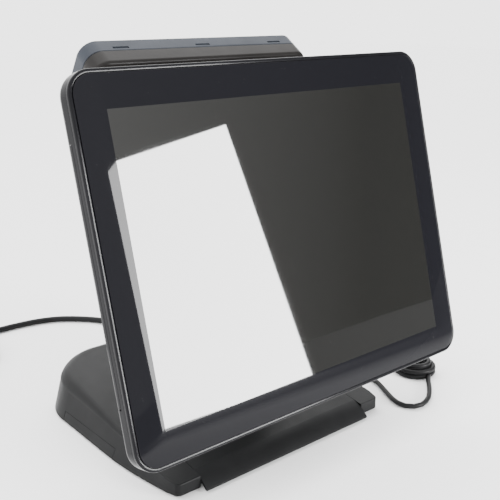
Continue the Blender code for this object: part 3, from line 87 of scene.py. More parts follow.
DRIVE_BAY_WIDTH, DRIVE_BAY_FROM_EDGE, DRIVE_BAY_Z = 0.074, 0.0085, (-0.062, 0.042)
VENT_COUNT, VENT_PITCH, VENT_HEIGHT, VENT_WIDTH = 9, 0.0125, 0.0035, 0.056
VENT_LOW, VENT_FROM_EDGE = -0.056, 0.0185
SCREEN_TILT = radians(15.0)
HINGE_DEPTH, HINGE_BELOW_CENTRE = 0.070, 0.039
BRACKET_THICKNESS, BRACKET_SCREW_X, BRACKET_SCREW_Z = 0.003, 0.038, 0.030
SCREW_PLACES = [
    (x, z - HINGE_BELOW_CENTRE)
    for x in (-BRACKET_SCREW_X, BRACKET_SCREW_X) for z in (-BRACKET_SCREW_Z, BRACKET_SCREW_Z)
]
BASE_DEPTH, BASE_HALF_WIDTH, BASE_SIDE_SWELL, BASE_SIDE_LEAN = 0.236, 0.130, 0.011, 0.0095
BASE_WIDEST_AT, BASE_REAR_CORNER, BASE_FRONT_CORNER = 0.095, 0.062, 0.005
BASE_FRONT_HEIGHT, BASE_CLEARANCE, TOP_SLOPE, TOP_REAR_INSET = 0.012, 0.0015, radians(8.2), 0.008
EDGE_RADIUS_FRONT, EDGE_RADIUS_GROWTH = 0.0012, 0.0118
FRONT_COVER_HALF, FRONT_COVER_PROUD, FRONT_COVER_BACK = 0.095, 0.008, 0.064
FRONT_COVER_KNEE, FRONT_COVER_SAG, FRONT_COVER_LIP = 0.010, 0.0025, 0.0015
STRIP_FRONT, STRIP_FROM_CORNER, STRIP_HEIGHT, STRIP_DEPTH = 0.083, 0.002, 0.0085, 0.004
BASE_FRONT_HALF = BASE_HALF_WIDTH - BASE_SIDE_SWELL
TOP_HALF_WIDTH = BASE_HALF_WIDTH - BASE_SIDE_LEAN
STRIP_BACK = BASE_DEPTH - BASE_REAR_CORNER - STRIP_FROM_CORNER
INSIDE_FLOOR = 0.0038
PORT_BAY_HALF, PORT_BAY_HEIGHT = 0.062, 0.0225
NECK_HALF_WIDTH, NECK_FOOT_FRONT, NECK_FOOT_BACK = 0.040, 0.074, 0.150
DISPLAY_WIDTH, DISPLAY_HEIGHT, DISPLAY_LEAN = 0.228, 0.062, radians(34.5)
DISPLAY_WALL, DISPLAY_CORNER, DISPLAY_CHAMFER = 0.002, 0.014, 0.004
OPERATOR_FACE, SEAM, CUSTOMER_FACE = 0.012, 0.028, 0.042
DISPLAY_BARREL, DISPLAY_PIN_RADIUS, ARM_HALF_WIDTH = 0.008, 0.003, 0.024
LUG_WIDTH, LUG_FOOT = 0.008, 0.0112
WINDOW_WIDTH, WINDOW_HEIGHT = 0.170, 0.034
MAINS_DIAMETER, DATA_DIAMETER = 0.007, 0.005
MAINS_X, MAINS_HEIGHT, DATA_X, DATA_HEIGHT = 0.028, 0.0155, 0.052, 0.0130

# ---- frames ----
BASE_FRONT_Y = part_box("base_cover")[0][1]
HEAD_PIVOT = Vector(JOINTS["head_tilt"]["pos_m"])
DISPLAY_PIVOT = Vector(JOINTS["customer_display_tilt"]["pos_m"])
HEAD_BODY = JOINTS["head_tilt"]["child"]
DISPLAY_BODY = JOINTS["customer_display_tilt"]["child"]
DOOR_BODY = JOINTS["side_bay_cover_release"]["child"]
STRIP_BODIES = {side: JOINTS[f"side_strip_{side}_release"]["child"] for side in ("left", "right")}
BASE_BODY = JOINTS["head_tilt"]["parent"]
BASE = Matrix.Translation((0, BASE_FRONT_Y, 0))
HEAD = (
    Matrix.Translation(HEAD_PIVOT) @ Matrix.Rotation(-SCREEN_TILT, 4, "X")
    @ Matrix.Translation((0, -HINGE_DEPTH, HINGE_BELOW_CENTRE))
)
DISPLAY = Matrix.Translation(DISPLAY_PIVOT) @ Matrix.Rotation(DISPLAY_LEAN, 4, "X")

# ---- camera ----
FOCAL_LENGTH = 57.84
CAMERA_PLACE = (-0.4289, -0.5593, 0.3775)
CAMERA_AIM = (0.6116, 0.7353, -0.2919)
lens = bpy.data.cameras.new("camera")
lens.lens = FOCAL_LENGTH
lens.sensor_width = 36
camera = bpy.data.objects.new("camera", lens)
camera.location = CAMERA_PLACE
camera.rotation_euler = Vector(CAMERA_AIM).to_track_quat("-Z", "Y").to_euler()
bpy.context.scene.collection.objects.link(camera)
bpy.context.scene.camera = camera


# ---- node helpers ----
def new_node(tree, kind, inputs, settings):
    made = tree.nodes.new(kind)
    for key, value in settings.items():
        setattr(made, key, value)
    for key, value in dict(inputs).items():
        if isinstance(value, bpy.types.NodeSocket):
            tree.links.new(value, made.inputs[key])
        else:
            made.inputs[key].default_value = value
    return made


class Nodes:
    """A small node tree builder for a material."""

    def __init__(self, name):
        self.material = bpy.data.materials.new(name)
        self.material.use_nodes = True
        self.tree = self.material.node_tree
        self.shader = self.tree.nodes["Principled BSDF"]
        self.place = self.tree.nodes.new("ShaderNodeTexCoord").outputs["Object"]

    def set(self, socket, value):
        self.shader.inputs[socket].default_value = value

    def link(self, source, target):
        self.tree.links.new(source, target)

    def node(self, kind, inputs=(), **settings):
        return new_node(self.tree, kind, inputs, settings)

    def stretch(self, scale):
        return self.node("ShaderNodeMapping", {"Vector": self.place, "Scale": scale}).outputs[0]

    def noise(self, scale, detail=3, roughness=0.55, place=None):
        return self.node(
            "ShaderNodeTexNoise",
            {
                "Vector": place or self.place, "Scale": scale, "Detail": detail,
                "Roughness": roughness,
            },
        ).outputs["Fac"]

    def remap(self, value, low, high, start, end):
        return self.node(
            "ShaderNodeMapRange",
            {"Value": value, "From Min": low, "From Max": high, "To Min": start, "To Max": end},
        ).outputs[0]

    def mix(self, share, a, b):
        made = self.node("ShaderNodeMix", data_type="RGBA")
        self.link(share, made.inputs[0])
        made.inputs[6].default_value = (*a, 1)
        made.inputs[7].default_value = (*b, 1)
        return made.outputs[2]

    def math(self, operation, a, b=0.0):
        return self.node("ShaderNodeMath", {0: a, 1: b}, operation=operation).outputs[0]

    def bump(self, height, distance, strength=1.0, under=None):
        inputs = {"Height": height, "Distance": distance, "Strength": strength}
        if under:
            inputs["Normal"] = under
        return self.node("ShaderNodeBump", inputs).outputs[0]


def plastic(name, colour, rough, grain=0.00004, size=2500, wear=0.25, dust=0.03, level=0.08):
    """Moulded plastic: fine grain, handling marks in the gloss, slight shade changes, dust."""
    made = Nodes(name)
    broad = made.noise(14, 4)
    light = tuple(min(1, c * (1 + wear) + dust * 0.02) for c in colour)
    dark = tuple(c * (1 - wear * 0.5) for c in colour)
    shades = made.mix(made.remap(broad, 0.35, 0.68, 0, 1), dark, light)
    made.link(shades, made.shader.inputs["Base Color"])
    smear = made.noise(38, 5, 0.62, made.stretch((1, 1, 0.4)))
    made.link(
        made.remap(smear, 0.3, 0.72, max(0.01, rough * 0.84), min(1, rough * 1.22)),
        made.shader.inputs["Roughness"],
    )
    fine = made.noise(size, 2, 0.5)
    soft = made.bump(made.noise(60, 2), 0.00005, 0.5)
    made.link(made.bump(fine, grain, 0.7, soft), made.shader.inputs["Normal"])
    made.set("Specular IOR Level", level)
    return made.material


def metal(name, colour, rough, brushed=(1, 1, 14)):
    """Plated or brushed metal with fine directional marks and faint tarnish."""
    made = Nodes(name)
    cloud = made.remap(made.noise(45, 4), 0.32, 0.7, 0, 1)
    made.link(
        made.mix(cloud, tuple(c * 0.82 for c in colour), colour), made.shader.inputs["Base Color"]
    )
    lines = made.noise(700, 3, 0.6, made.stretch(brushed))
    gloss = made.remap(lines, 0.3, 0.7, rough * 0.7, rough * 1.3)
    made.link(gloss, made.shader.inputs["Roughness"])
    made.link(made.bump(lines, 0.00002, 0.5), made.shader.inputs["Normal"])
    made.set("Metallic", 1.0)
    return made.material


def circuit(name, mask, copper, cell=330):
    """Solder mask over traces, with pads where the traces end."""
    made = Nodes(name)
    lanes = made.node(
        "ShaderNodeTexBrick",
        {
            "Vector": made.place, "Scale": cell, "Mortar Size": 0.09, "Brick Width": 1.7,
            "Row Height": 0.55, "Color1": (0, 0, 0, 1), "Color2": (0.25, 0.25, 0.25, 1),
            "Mortar": (1, 1, 1, 1),
        },
    ).outputs["Color"]
    spots = made.node(
        "ShaderNodeTexVoronoi", {"Vector": made.place, "Scale": cell * 0.8}
    ).outputs["Distance"]
    pads = made.remap(spots, 0.12, 0.16, 1, 0)
    share = made.math(
        "MAXIMUM", made.math("MULTIPLY", lanes, 0.35), made.math("MULTIPLY", pads, 0.8)
    )
    made.link(made.mix(share, mask, copper), made.shader.inputs["Base Color"])
    made.link(made.remap(made.noise(90), 0.3, 0.7, 0.28, 0.5), made.shader.inputs["Roughness"])
    made.link(made.bump(share, 0.00006, 0.8), made.shader.inputs["Normal"])
    return made.material


def screen(name, colour, rough, ior):
    """Smooth glass with wiped smears and a trace of dust."""
    made = Nodes(name)
    smear = made.noise(22, 5, 0.6, made.stretch((1, 1, 0.35)))
    specks = made.node(
        "ShaderNodeTexVoronoi", {"Vector": made.place, "Scale": 420}
    ).outputs["Distance"]
    sparse = made.remap(made.noise(140, 2), 0.60, 0.66, 0, 1)
    speck = made.math("MULTIPLY", made.remap(specks, 0.05, 0.11, 1, 0), sparse)
    share = made.math("MULTIPLY", speck, 0.3)
    made.link(made.mix(share, colour, (0.35, 0.35, 0.34)), made.shader.inputs["Base Color"])
    made.link(
        made.remap(smear, 0.3, 0.75, rough * 0.8, rough * 1.25), made.shader.inputs["Roughness"]
    )
    made.set("IOR", ior)
    return made.material


MATTE = plastic("matte_black_plastic", (0.0085, 0.0087, 0.009), 0.42, 0.00007, 1900)
NECK = plastic("neck_black_plastic", (0.009, 0.0092, 0.0095), 0.40, 0.00006, 1900)
GLOSS = plastic(
    "gloss_black_plastic", (0.006, 0.006, 0.007), 0.14, 0.000006, 900, wear=0.3, level=0.10
)
HOUSING = plastic("housing_plastic", (0.008, 0.008, 0.009), 0.14, 0.00001, 1400, level=0.035)
SHELL_DARK = plastic("display_shell_dark", (0.016, 0.0148, 0.0142), 0.30, 0.00003, 1900)
SHELL_BLUE = plastic("display_shell_grey", (0.030, 0.034, 0.042), 0.33, 0.00003, 1900)
CORD = plastic("cord_jacket", (0.010, 0.010, 0.0105), 0.38, 0.00002, 1300, wear=0.3)
MOULDED = plastic("moulded_plug", (0.012, 0.012, 0.0125), 0.5, 0.00006, 1500)
RUBBER = plastic("rubber", (0.022, 0.021, 0.020), 0.85, 0.0001, 1100, dust=0.3)
SPEAKER = plastic("speaker_box", (0.028, 0.028, 0.030), 0.6, 0.00006, 1500)
BACK = plastic("back_plastic", (0.012, 0.0123, 0.0128), 0.46, dust=0.05)
STEEL = metal("zinc_steel", (0.34, 0.35, 0.365), 0.38)
SPRING = metal("spring_steel", (0.42, 0.42, 0.43), 0.28, (1, 14, 1))
SOCKET = metal("nickel_shell", (0.42, 0.415, 0.40), 0.28)
CHROME = metal("plated_pins", (0.75, 0.73, 0.68), 0.2)
GOLD = metal("gold_contacts", (0.83, 0.60, 0.24), 0.25)
ALUMINIUM = metal("aluminium", (0.72, 0.73, 0.75), 0.36, (14, 1, 1))
BOARD = circuit("board_green", (0.012, 0.085, 0.038), (0.20, 0.30, 0.10))
MEMORY = circuit("memory_board", (0.010, 0.070, 0.050), (0.35, 0.30, 0.10), 520)
BORDER = screen("glass_border", (0.006, 0.006, 0.0075), 0.03, 1.21)
ACTIVE = screen("glass_active", (0.0085, 0.0085, 0.0078), 0.02, 1.60)
WINDOW = screen("display_window_glass", (0.004, 0.012, 0.011), 0.05, 1.3)
PANEL = plastic("panel_back", (0.35, 0.35, 0.34), 0.4, 0.00002, 900)


# ---- shape helpers ----
def add(name, mesh, place, finish=None):
    made = bpy.data.objects.new(name, mesh)
    made.matrix_world = place
    bpy.context.scene.collection.objects.link(made)
    if finish:
        mesh.materials.clear()
        mesh.materials.append(finish)
    return made


def arc(centre, radius, start, end, steps):
    return [
        (
            centre[0] + radius * cos(start + (end - start) * i / steps),
            centre[1] + radius * sin(start + (end - start) * i / steps),
        )
        for i in range(steps + 1)
    ]


def rounded_rectangle(half_width, half_height, radius, steps=12):
    points = []
    for corner, (sx, sy) in enumerate([(1, 1), (-1, 1), (-1, -1), (1, -1)]):
        centre = (sx * (half_width - radius), sy * (half_height - radius))
        points += arc(centre, radius, corner * pi / 2, (corner + 1) * pi / 2, steps)
    return points


def skin_rings(sections, width, height, corner_at, steps):
    """A rounded ring for each depth and inset, with the corner's radius from the inset."""
    return [
        [
            (x, depth, z) for x, z in rounded_rectangle(
                width / 2 - inwards, height / 2 - inwards, corner_at(inwards), steps
            )
        ]
        for depth, inwards in sections
    ]


def mesh_from(name, shape):
    mesh = bpy.data.meshes.new(name)
    shape.to_mesh(mesh)
    shape.free()
    return mesh


def loft_mesh(name, rings, close_start=False, close_end=True, wrap=False):
    shape = bmesh.new()
    loops = [[shape.verts.new(point) for point in ring] for ring in rings]
    pairs = list(zip(loops, loops[1:]))
    if wrap:
        pairs.append((loops[-1], loops[0]))
    for near, far in pairs:
        for i in range(len(near)):
            j = (i + 1) % len(near)
            shape.faces.new((near[i], near[j], far[j], far[i]))
    if close_start:
        shape.faces.new(loops[0])
    if close_end and not wrap:
        shape.faces.new(loops[-1])
    bmesh.ops.recalc_face_normals(shape, faces=shape.faces)
    return mesh_from(name, shape)


def block(name, low, high, place, finish=None, bevel=0.0):
    low, high = Vector(low), Vector(high)
    shape = bmesh.new()
    bmesh.ops.create_cube(shape, size=1)
    for vertex in shape.verts:
        vertex.co = (low + high) / 2 + Vector(vertex.co[i] * (high[i] - low[i]) for i in range(3))
    if bevel:
        bmesh.ops.bevel(
            shape, geom=list(shape.edges), offset=bevel, segments=3, profile=0.5, affect="EDGES"
        )
    return add(name, mesh_from(name, shape), place, finish)


def rod(name, start, end, radius, place, finish=None, sides=48):
    start, end = Vector(start), Vector(end)
    shape = bmesh.new()
    bmesh.ops.create_cone(
        shape, cap_ends=True, segments=sides, radius1=radius, radius2=radius,
        depth=(end - start).length,
    )
    turn = Vector((0, 0, 1)).rotation_difference(end - start).to_matrix().to_4x4()
    turn = Matrix.Translation((start + end) / 2) @ turn
    bmesh.ops.transform(shape, matrix=turn, verts=shape.verts)
    return add(name, mesh_from(name, shape), place, finish)


def flat_solid(name, outline, low, high, place, finish=None):
    """A side view in y and z, drawn out along x."""
    rings = [[(x, y, z) for y, z in outline] for x in (low, high)]
    return add(name, loft_mesh(name, rings, True), place, finish)


def boolean(target, tool, operation="DIFFERENCE"):
    made = target.modifiers.new(operation.lower() + "_" + tool.name, "BOOLEAN")
    made.operation = operation
    made.object = tool
    made.solver = "EXACT"
    return tool


def bake(target, tools=()):
    """The object's modifiers become its mesh, and the tools go."""
    bpy.context.view_layer.update()
    seen = target.evaluated_get(bpy.context.evaluated_depsgraph_get())
    mesh = bpy.data.meshes.new_from_object(seen)
    target.modifiers.clear()
    target.data = mesh
    for tool in tools:
        bpy.data.objects.remove(tool)
    return target


def finish_edges(target, width, angle=32):
    """Small rounded edges with even shading; flat areas are merged first."""
    target.data.shade_smooth()
    weld = target.modifiers.new("weld", "WELD")
    weld.merge_threshold = 1e-6
    merge = target.modifiers.new("merge_flat", "DECIMATE")
    merge.decimate_type = "DISSOLVE"
    merge.angle_limit = radians(0.4)
    edge = target.modifiers.new("edge", "BEVEL")
    edge.width = width
    edge.segments = 2
    edge.limit_method = "ANGLE"
    edge.angle_limit = radians(angle)
    edge.use_clamp_overlap = True
    edge.harden_normals = False
    weigh = target.modifiers.new("weigh", "WEIGHTED_NORMAL")
    weigh.keep_sharp = False


def refine(node, finish, width):
    """A carried-over node keeps its shape and gets soft edges and a finish."""
    made = NODES[node]
    for slot in range(len(made.material_slots)):
        made.material_slots[slot].material = finish
    if not made.material_slots:
        made.data.materials.append(finish)
    finish_edges(made, width)


def take_over(made, body, *nodes):
    """The piece moves with the body and stands for the nodes, if any are named."""
    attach(made, body)
    if nodes:
        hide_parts(*nodes)


# ---- cords ----
def smooth_path(points, spacing):
    """Points read at an even spacing from a smooth curve through the route's own points."""
    knots = [Vector(point) for point in points]
    ends = [2 * knots[0] - knots[1]] + knots + [2 * knots[-1] - knots[-2]]
    dense = []
    for before, a, b, after in zip(ends, ends[1:], ends[2:], ends[3:]):
        for i in range(20):
            t = i / 20
            dense.append(
                0.5 * (
                    2 * a + (b - before) * t + (2 * before - 5 * a + 4 * b - after) * t * t
                    + (3 * a - before - 3 * b + after) * t**3
                )
            )
    dense.append(knots[-1])
    length = sum((q - p).length for p, q in zip(dense, dense[1:]))
    count = max(2, round(length / spacing))
    step, walked, path = length / count, 0.0, [dense[0]]
    for p, q in zip(dense, dense[1:]):
        gone = (q - p).length
        while walked + gone >= step * len(path) and len(path) < count:
            path.append(p.lerp(q, (step * len(path) - walked) / gone))
        walked += gone
    return path + [dense[-1]]


def ease(value, low, high):
    share = min(1.0, max(0.0, (value - low) / (high - low)))
    return share * share * (3 - 2 * share)


def draw_cord(name, path, diameter, finish):
    curve = bpy.data.curves.new(name, "CURVE")
    curve.dimensions = "3D"
    curve.bevel_depth = diameter / 2
    curve.bevel_resolution = 5
    curve.use_fill_caps = True
    spline = curve.splines.new("POLY")
    spline.points.add(len(path) - 1)
    for point, place in zip(spline.points, path):
        point.co = (*place, 1)
    spline.use_smooth = True
    curve.materials.append(finish)
    made = bpy.data.objects.new(name, curve)
    made.matrix_world = BASE
    bpy.context.scene.collection.objects.link(made)
    return made


MAINS_ROUTE = [
    (0.028, 0.2802, 0.0155), (0.0285, 0.292, 0.0148), (0.030, 0.305, 0.0110),
    (0.0315, 0.320, 0.0060), (0.0312, 0.336, 0.0039), (0.0275, 0.353, 0.0038),
    (0.018, 0.371, 0.0038), (0.002, 0.389, 0.0038), (-0.016, 0.4035, 0.0038),
    (-0.038, 0.4125, 0.0038), (-0.063, 0.4165, 0.0038), (-0.090, 0.4170, 0.0038),
    (-0.115, 0.4160, 0.0038), (-0.1364, 0.4155, 0.0038),
]
DATA_ROUTE = [
    (0.052, 0.2541, 0.0130), (0.0525, 0.264, 0.0118), (0.056, 0.277, 0.0075),
    (0.064, 0.289, 0.0038), (0.079, 0.298, 0.0028), (0.098, 0.299, 0.0028),
    (0.116, 0.292, 0.0028), (0.131, 0.278, 0.0028), (0.142, 0.259, 0.0028),
    (0.150, 0.235, 0.0028), (0.155, 0.205, 0.0028), (0.1575, 0.170, 0.0028),
    (0.159, 0.135, 0.0028), (0.1605, 0.100, 0.0028), (0.161, 0.068, 0.0028),
    (0.158, 0.038, 0.0028), (0.149, 0.017, 0.0028), (0.141, 0.000, 0.0028),
    (0.1385, -0.013, 0.0028), (0.1425, -0.022, 0.0028), (0.153, -0.0262, 0.0028),
    (0.168, -0.0225, 0.0028), (0.182, -0.0135, 0.0028), (0.194, -0.0035, 0.0028),
    (0.2055, 0.0075, 0.0040),
]
COIL_CENTRE = (-0.162, 0.370)
COIL_RADII = (0.0455, 0.0385, 0.0315)
COIL_HEIGHTS = (0.0038, 0.0108)
COIL_DEGREES, COIL_STEP = 1890.0, 10.0
MAINS_END = ((0.006, 0.0110), (0.013, 0.0117), (0.020, 0.0124), (0.027, 0.0128), (0.034, 0.0128))


def mains_path():
    """From the connector over the table, wound inwards, up a layer, and outwards to the plug."""
    start = [(MAINS_X, 0.252, MAINS_HEIGHT), (MAINS_X, 0.266, MAINS_HEIGHT)]
    path = [tuple(p) for p in smooth_path(start + MAINS_ROUTE, 0.010)][:-1]
    outer, middle, inner = COIL_RADII
    low, high = COIL_HEIGHTS
    turn = -8.0
    while turn <= COIL_DEGREES:
        radius = outer + (middle - outer) * ease(turn, 230, 310)
        radius += (inner - middle) * ease(turn, 590, 670)
        radius += (middle - inner) * ease(turn, 1310, 1390)
        radius += (outer - middle) * ease(turn, 1670, 1750)
        height = low + (high - low) * ease(turn, 940, 1050)
        angle = pi / 2 + radians(turn)
        if turn > -4:
            path.append((
                COIL_CENTRE[0] + radius * cos(angle), COIL_CENTRE[1] + radius * sin(angle), height
            ))
        turn += COIL_STEP
    end_x = COIL_CENTRE[0] - outer
    for step, height in MAINS_END:
        path.append((end_x, COIL_CENTRE[1] - step, height))
    return path


HANK_MIDDLE_X = 0.212
HANK_ENDS = (0.030, 0.082)
HANK_PINCH, HANK_CUT = 0.0070, 0.1060


def hank_turn(share, radius, pinch):
    """A point on a flat-sided loop, anticlockwise from the right side's front end."""
    straight = HANK_ENDS[1] - HANK_ENDS[0]
    around = 2 * straight + 2 * pi * radius
    walked = (share % 1.0) * around
    if walked < straight:
        x, y = radius, HANK_ENDS[0] + walked
    elif walked < straight + pi * radius:
        angle = (walked - straight) / radius
        x, y = radius * cos(angle), HANK_ENDS[1] + radius * sin(angle)
    elif walked < 2 * straight + pi * radius:
        x, y = -radius, HANK_ENDS[1] - (walked - straight - pi * radius)
    else:
        angle = pi + (walked - 2 * straight - pi * radius) / radius
        x, y = radius * cos(angle), HANK_ENDS[0] + radius * sin(angle)
    middle = (HANK_ENDS[0] + HANK_ENDS[1]) / 2
    if HANK_ENDS[0] < y < HANK_ENDS[1]:
        near = max(0.0, cos((y - middle) / straight * pi)) ** 2
        x -= (1 if x > 0 else -1) * pinch * near
    return HANK_MIDDLE_X + x, y


def data_path():
    """From its plug round the terminal's side, then wound flat: three turns in, two turns out."""
    start = [(DATA_X, 0.2425, DATA_HEIGHT)]
    path = [tuple(p) for p in smooth_path(start + DATA_ROUTE, 0.009)][:-1]
    inner, outer = 0.0146, 0.0195
    straight = HANK_ENDS[1] - HANK_ENDS[0]
    per_inner = 2 * straight + 2 * pi * inner
    heights = (0.0028, 0.0078, 0.0128)
    first = 1 - (pi * inner * 0.26) / per_inner
    share = first
    last_inner = first + 3.0
    while share < last_inner:
        turn = share - first
        whole, part = int(turn), turn % 1.0
        here = heights[min(whole, 2)]
        after = heights[min(whole + 1, 2)]
        height = here + (after - here) * ease(part, 0.78, 0.97)
        path.append((*hank_turn(share, inner, HANK_PINCH - 0.0005 * whole), height))
        share += 1 / 34
    share = last_inner
    while share < last_inner + 2.0 + (1 - first) + 0.30:
        turn = share - last_inner
        radius = inner + (outer - inner) * ease(turn, 0.0, 0.26)
        height = heights[2] - (heights[2] - heights[1]) * ease(turn, 0.06, 0.40)
        height -= (heights[1] - heights[0]) * ease(turn, 1.02, 1.34)
        pinch = HANK_PINCH * (1 - ease(turn, 2.0, 2.2))
        path.append((*hank_turn(share, radius, pinch), height))
        share += 1 / 36
    return path


def cut_data_path(path):
    """The hank's last straight run ends inside the end plug's boot."""
    kept = list(path)
    while kept[-1][1] > HANK_CUT or kept[-1][0] < HANK_MIDDLE_X:
        kept.pop()
    return kept


# ---- light, world and floor ----
def area_light(name, centre, across, up, power):
    """A rectangle of light, spread along across and up, that the camera doesn't see."""
    centre, across, up = Vector(centre), Vector(across), Vector(up)
    light = bpy.data.lights.new(name, "AREA")
    light.shape = "RECTANGLE"
    light.size = across.length
    light.size_y = up.length
    light.energy = power
    made = bpy.data.objects.new(name, light)
    x = across.normalized()
    z = x.cross(up.normalized()).normalized()
    y = z.cross(x)
    made.matrix_world = Matrix.Translation(centre) @ Matrix((x, y, z)).transposed().to_4x4()
    made.visible_camera = False
    bpy.context.scene.collection.objects.link(made)


area_light(
    "softbox", (0.711, -1.3645, 0.3420), (0.367, 0.254, 0.0054), (-0.0507, 0.0583, 0.7041), 56
)
area_light("left_fill", (-1.7, -0.3, 0.9), (0, -1.2, 0), (0.4, 0, 1.0), 2)
top = bpy.data.lights.new("top", "SUN")
top.energy = 3.4
top.angle = radians(75)
top_light = bpy.data.objects.new("top", top)
top_light.rotation_euler = (radians(-14), radians(6), 0)
bpy.context.scene.collection.objects.link(top_light)

world = bpy.data.worlds.new("studio")
world.use_nodes = True
bpy.context.scene.world = world
tree = world.node_tree
background = tree.nodes["Background"]
spot = tree.nodes.new("ShaderNodeTexCoord").outputs["Generated"]
PALE, ROOM_LOW, ROOM_SPAN = 3.3, 0.15, 1.3
# Directions of the painted dark reflection that the floor shows to the glass.
DARK_REFLECTION_AHEAD, DARK_REFLECTION_ASIDE = (0.62, -0.78, 0), (0.78, 0.62, 0)


def world_node(kind, inputs, **settings):
    return new_node(tree, kind, inputs, settings).outputs


# The glass mirrors a dimmer room in front of the terminal. The camera itself sees only the pale
# world and the pale paper.
toward = world_node(
    "ShaderNodeVectorMath", {0: spot, 1: (0.60, -0.75, 0.05)}, operation="DOT_PRODUCT"
)["Value"]
dim = world_node(
    "ShaderNodeMapRange",
    {"Value": toward, "From Min": 0.0, "From Max": 0.6, "To Min": 0, "To Max": 1},
)[0]
across = world_node(
    "ShaderNodeVectorMath", {0: spot, 1: (0.78, 0.62, -0.35)}, operation="DOT_PRODUCT"
)["Value"]
fade = world_node(
    "ShaderNodeMapRange",
    {"Value": across, "From Min": -0.30, "From Max": 0.10, "To Min": 1, "To Max": 0},
)[0]
room = world_node("ShaderNodeMath", {0: fade, 1: ROOM_SPAN}, operation="MULTIPLY")[0]
room = world_node("ShaderNodeMath", {0: room, 1: ROOM_LOW}, operation="ADD")[0]
seen = world_node("ShaderNodeLightPath", {})["Is Camera Ray"]
unseen = world_node("ShaderNodeMath", {0: 1.0, 1: seen}, operation="SUBTRACT")[0]
dim = world_node("ShaderNodeMath", {0: dim, 1: unseen}, operation="MULTIPLY")[0]
shade = world_node("ShaderNodeMix", {0: dim, 2: PALE, 3: room}, data_type="FLOAT")[0]
tree.links.new(shade, background.inputs["Color"])
background.inputs["Strength"].default_value = 1.0

floor_shape = bmesh.new()
bmesh.ops.create_grid(floor_shape, x_segments=1, y_segments=1, size=6)
floor_mesh = mesh_from("floor", floor_shape)
# The floor is even pale paper to the camera. To reflections and bounced light, a dark sector ahead
# of the terminal is painted in: a painted dark reflection for the glass.
floor_finish = Nodes("floor_paper")
ahead = floor_finish.node(
    "ShaderNodeVectorMath", {0: floor_finish.place, 1: DARK_REFLECTION_AHEAD}, operation="DOT_PRODUCT"
).outputs["Value"]
aside = floor_finish.node(
    "ShaderNodeVectorMath", {0: floor_finish.place, 1: DARK_REFLECTION_ASIDE}, operation="DOT_PRODUCT"
).outputs["Value"]
aside = floor_finish.math("MULTIPLY", floor_finish.math("ABSOLUTE", aside), 0.12)
dark_reflection_reach = floor_finish.math("SUBTRACT", ahead, aside)
paper = floor_finish.mix(floor_finish.noise(3), (0.90, 0.90, 0.90), (0.92, 0.92, 0.92))
# Painted dark reflection: the dark colour below is mixed in only for rays that do not come from the
# camera.
painted_reflection_mix = floor_finish.node("ShaderNodeMix", data_type="RGBA")
seen = floor_finish.node("ShaderNodeLightPath").outputs["Is Camera Ray"]
painted_reflection_share = floor_finish.remap(dark_reflection_reach, 0.50, 0.80, 0, 1)
painted_reflection_share = floor_finish.math("MULTIPLY", painted_reflection_share, floor_finish.math("SUBTRACT", 1.0, seen))
floor_finish.link(painted_reflection_share, painted_reflection_mix.inputs[0])
floor_finish.link(paper, painted_reflection_mix.inputs[6])
painted_reflection_mix.inputs[7].default_value = (0.09, 0.09, 0.095, 1)
floor_finish.link(painted_reflection_mix.outputs[2], floor_finish.shader.inputs["Base Color"])
floor_finish.set("Roughness", 0.85)
floor = add("floor", floor_mesh, Matrix.Translation((0, 0, -0.0002)), floor_finish.material)


# ---- cords in place ----
def make_cords():
    for node, width in (
        ("mains_connector", 0.0006), ("mains_plug", 0.0008), ("data_plug", 0.0004),
        ("data_end_plug", 0.0004),
    ):
        refine(node, MOULDED, width)
    path = mains_path()
    mains = draw_cord("mains_cord", path, MAINS_DIAMETER, CORD)
    take_over(mains, BASE_BODY, "mains_lead", "mains_coil")
    path = cut_data_path(data_path())
    data = draw_cord("data_cord", path, DATA_DIAMETER, CORD)
    take_over(data, BASE_BODY, "data_lead", "data_hank")
    tie = make_tie()


def make_tie():
    """A flat plastic strap drawn round the waist of the bundle."""
    half_x, low, high, thickness, half_width = 0.0150, 0.0003, 0.0176, 0.0009, 0.0035
    middle = (HANK_ENDS[0] + HANK_ENDS[1]) / 2
    outer, inner = (
        [(HANK_MIDDLE_X + x, (low + high) / 2 + z) for x, z in rounded_rectangle(*size, 10)]
        for size in (
            (half_x + thickness, (high - low) / 2, 0.0045),
            (half_x, (high - low) / 2 - thickness, 0.0037),
        )
    )
    rings = [
        [(x, middle + y, z) for x, z in loop]
        for y, loop in (
            (-half_width, outer), (half_width, outer), (half_width, inner), (-half_width, inner)
        )
    ]
    strap = loft_mesh("hank_strap", rings, close_end=False, wrap=True)
    tie = add("hank_strap", strap, BASE, MOULDED)
    finish_edges(tie, 0.0002)
    take_over(tie, BASE_BODY, "hank_tie")
    return tie


# ---- base ----
def top_height(y):
    return BASE_FRONT_HEIGHT + y * tan(TOP_SLOPE)


def base_outline():
    corner = BASE_FRONT_CORNER
    points = [(0.0, 0.0), (FRONT_COVER_HALF * 0.5, 0.0), (FRONT_COVER_HALF, 0.0)]
    points += arc((BASE_FRONT_HALF - corner, corner), corner, -pi / 2, 0, 8)
    rear_start = BASE_DEPTH - BASE_REAR_CORNER
    side_steps = 24
    for i in range(1, side_steps):
        y = corner + (rear_start - corner) * i / side_steps
        swell = sin(pi / 2 * min(1.0, y / BASE_WIDEST_AT))
        points.append((BASE_FRONT_HALF + (BASE_HALF_WIDTH - BASE_FRONT_HALF) * swell, y))
    centre = (BASE_HALF_WIDTH - BASE_REAR_CORNER, rear_start)
    points += arc(centre, BASE_REAR_CORNER, 0, pi / 2, 30)
    points += [(centre[0] / 2, BASE_DEPTH), (0.0, BASE_DEPTH)]
    return points


def mirrored(half):
    return half + [(-x, y) for x, y in reversed(half[1:-1])]


def inset(loop, amounts):
    moved = []
    for i, (x, y) in enumerate(loop):
        before, after = loop[i - 1], loop[(i + 1) % len(loop)]
        along = Vector((after[0] - before[0], after[1] - before[1])).normalized()
        moved.append((x - along.y * amounts[i], y + along.x * amounts[i]))
    return moved


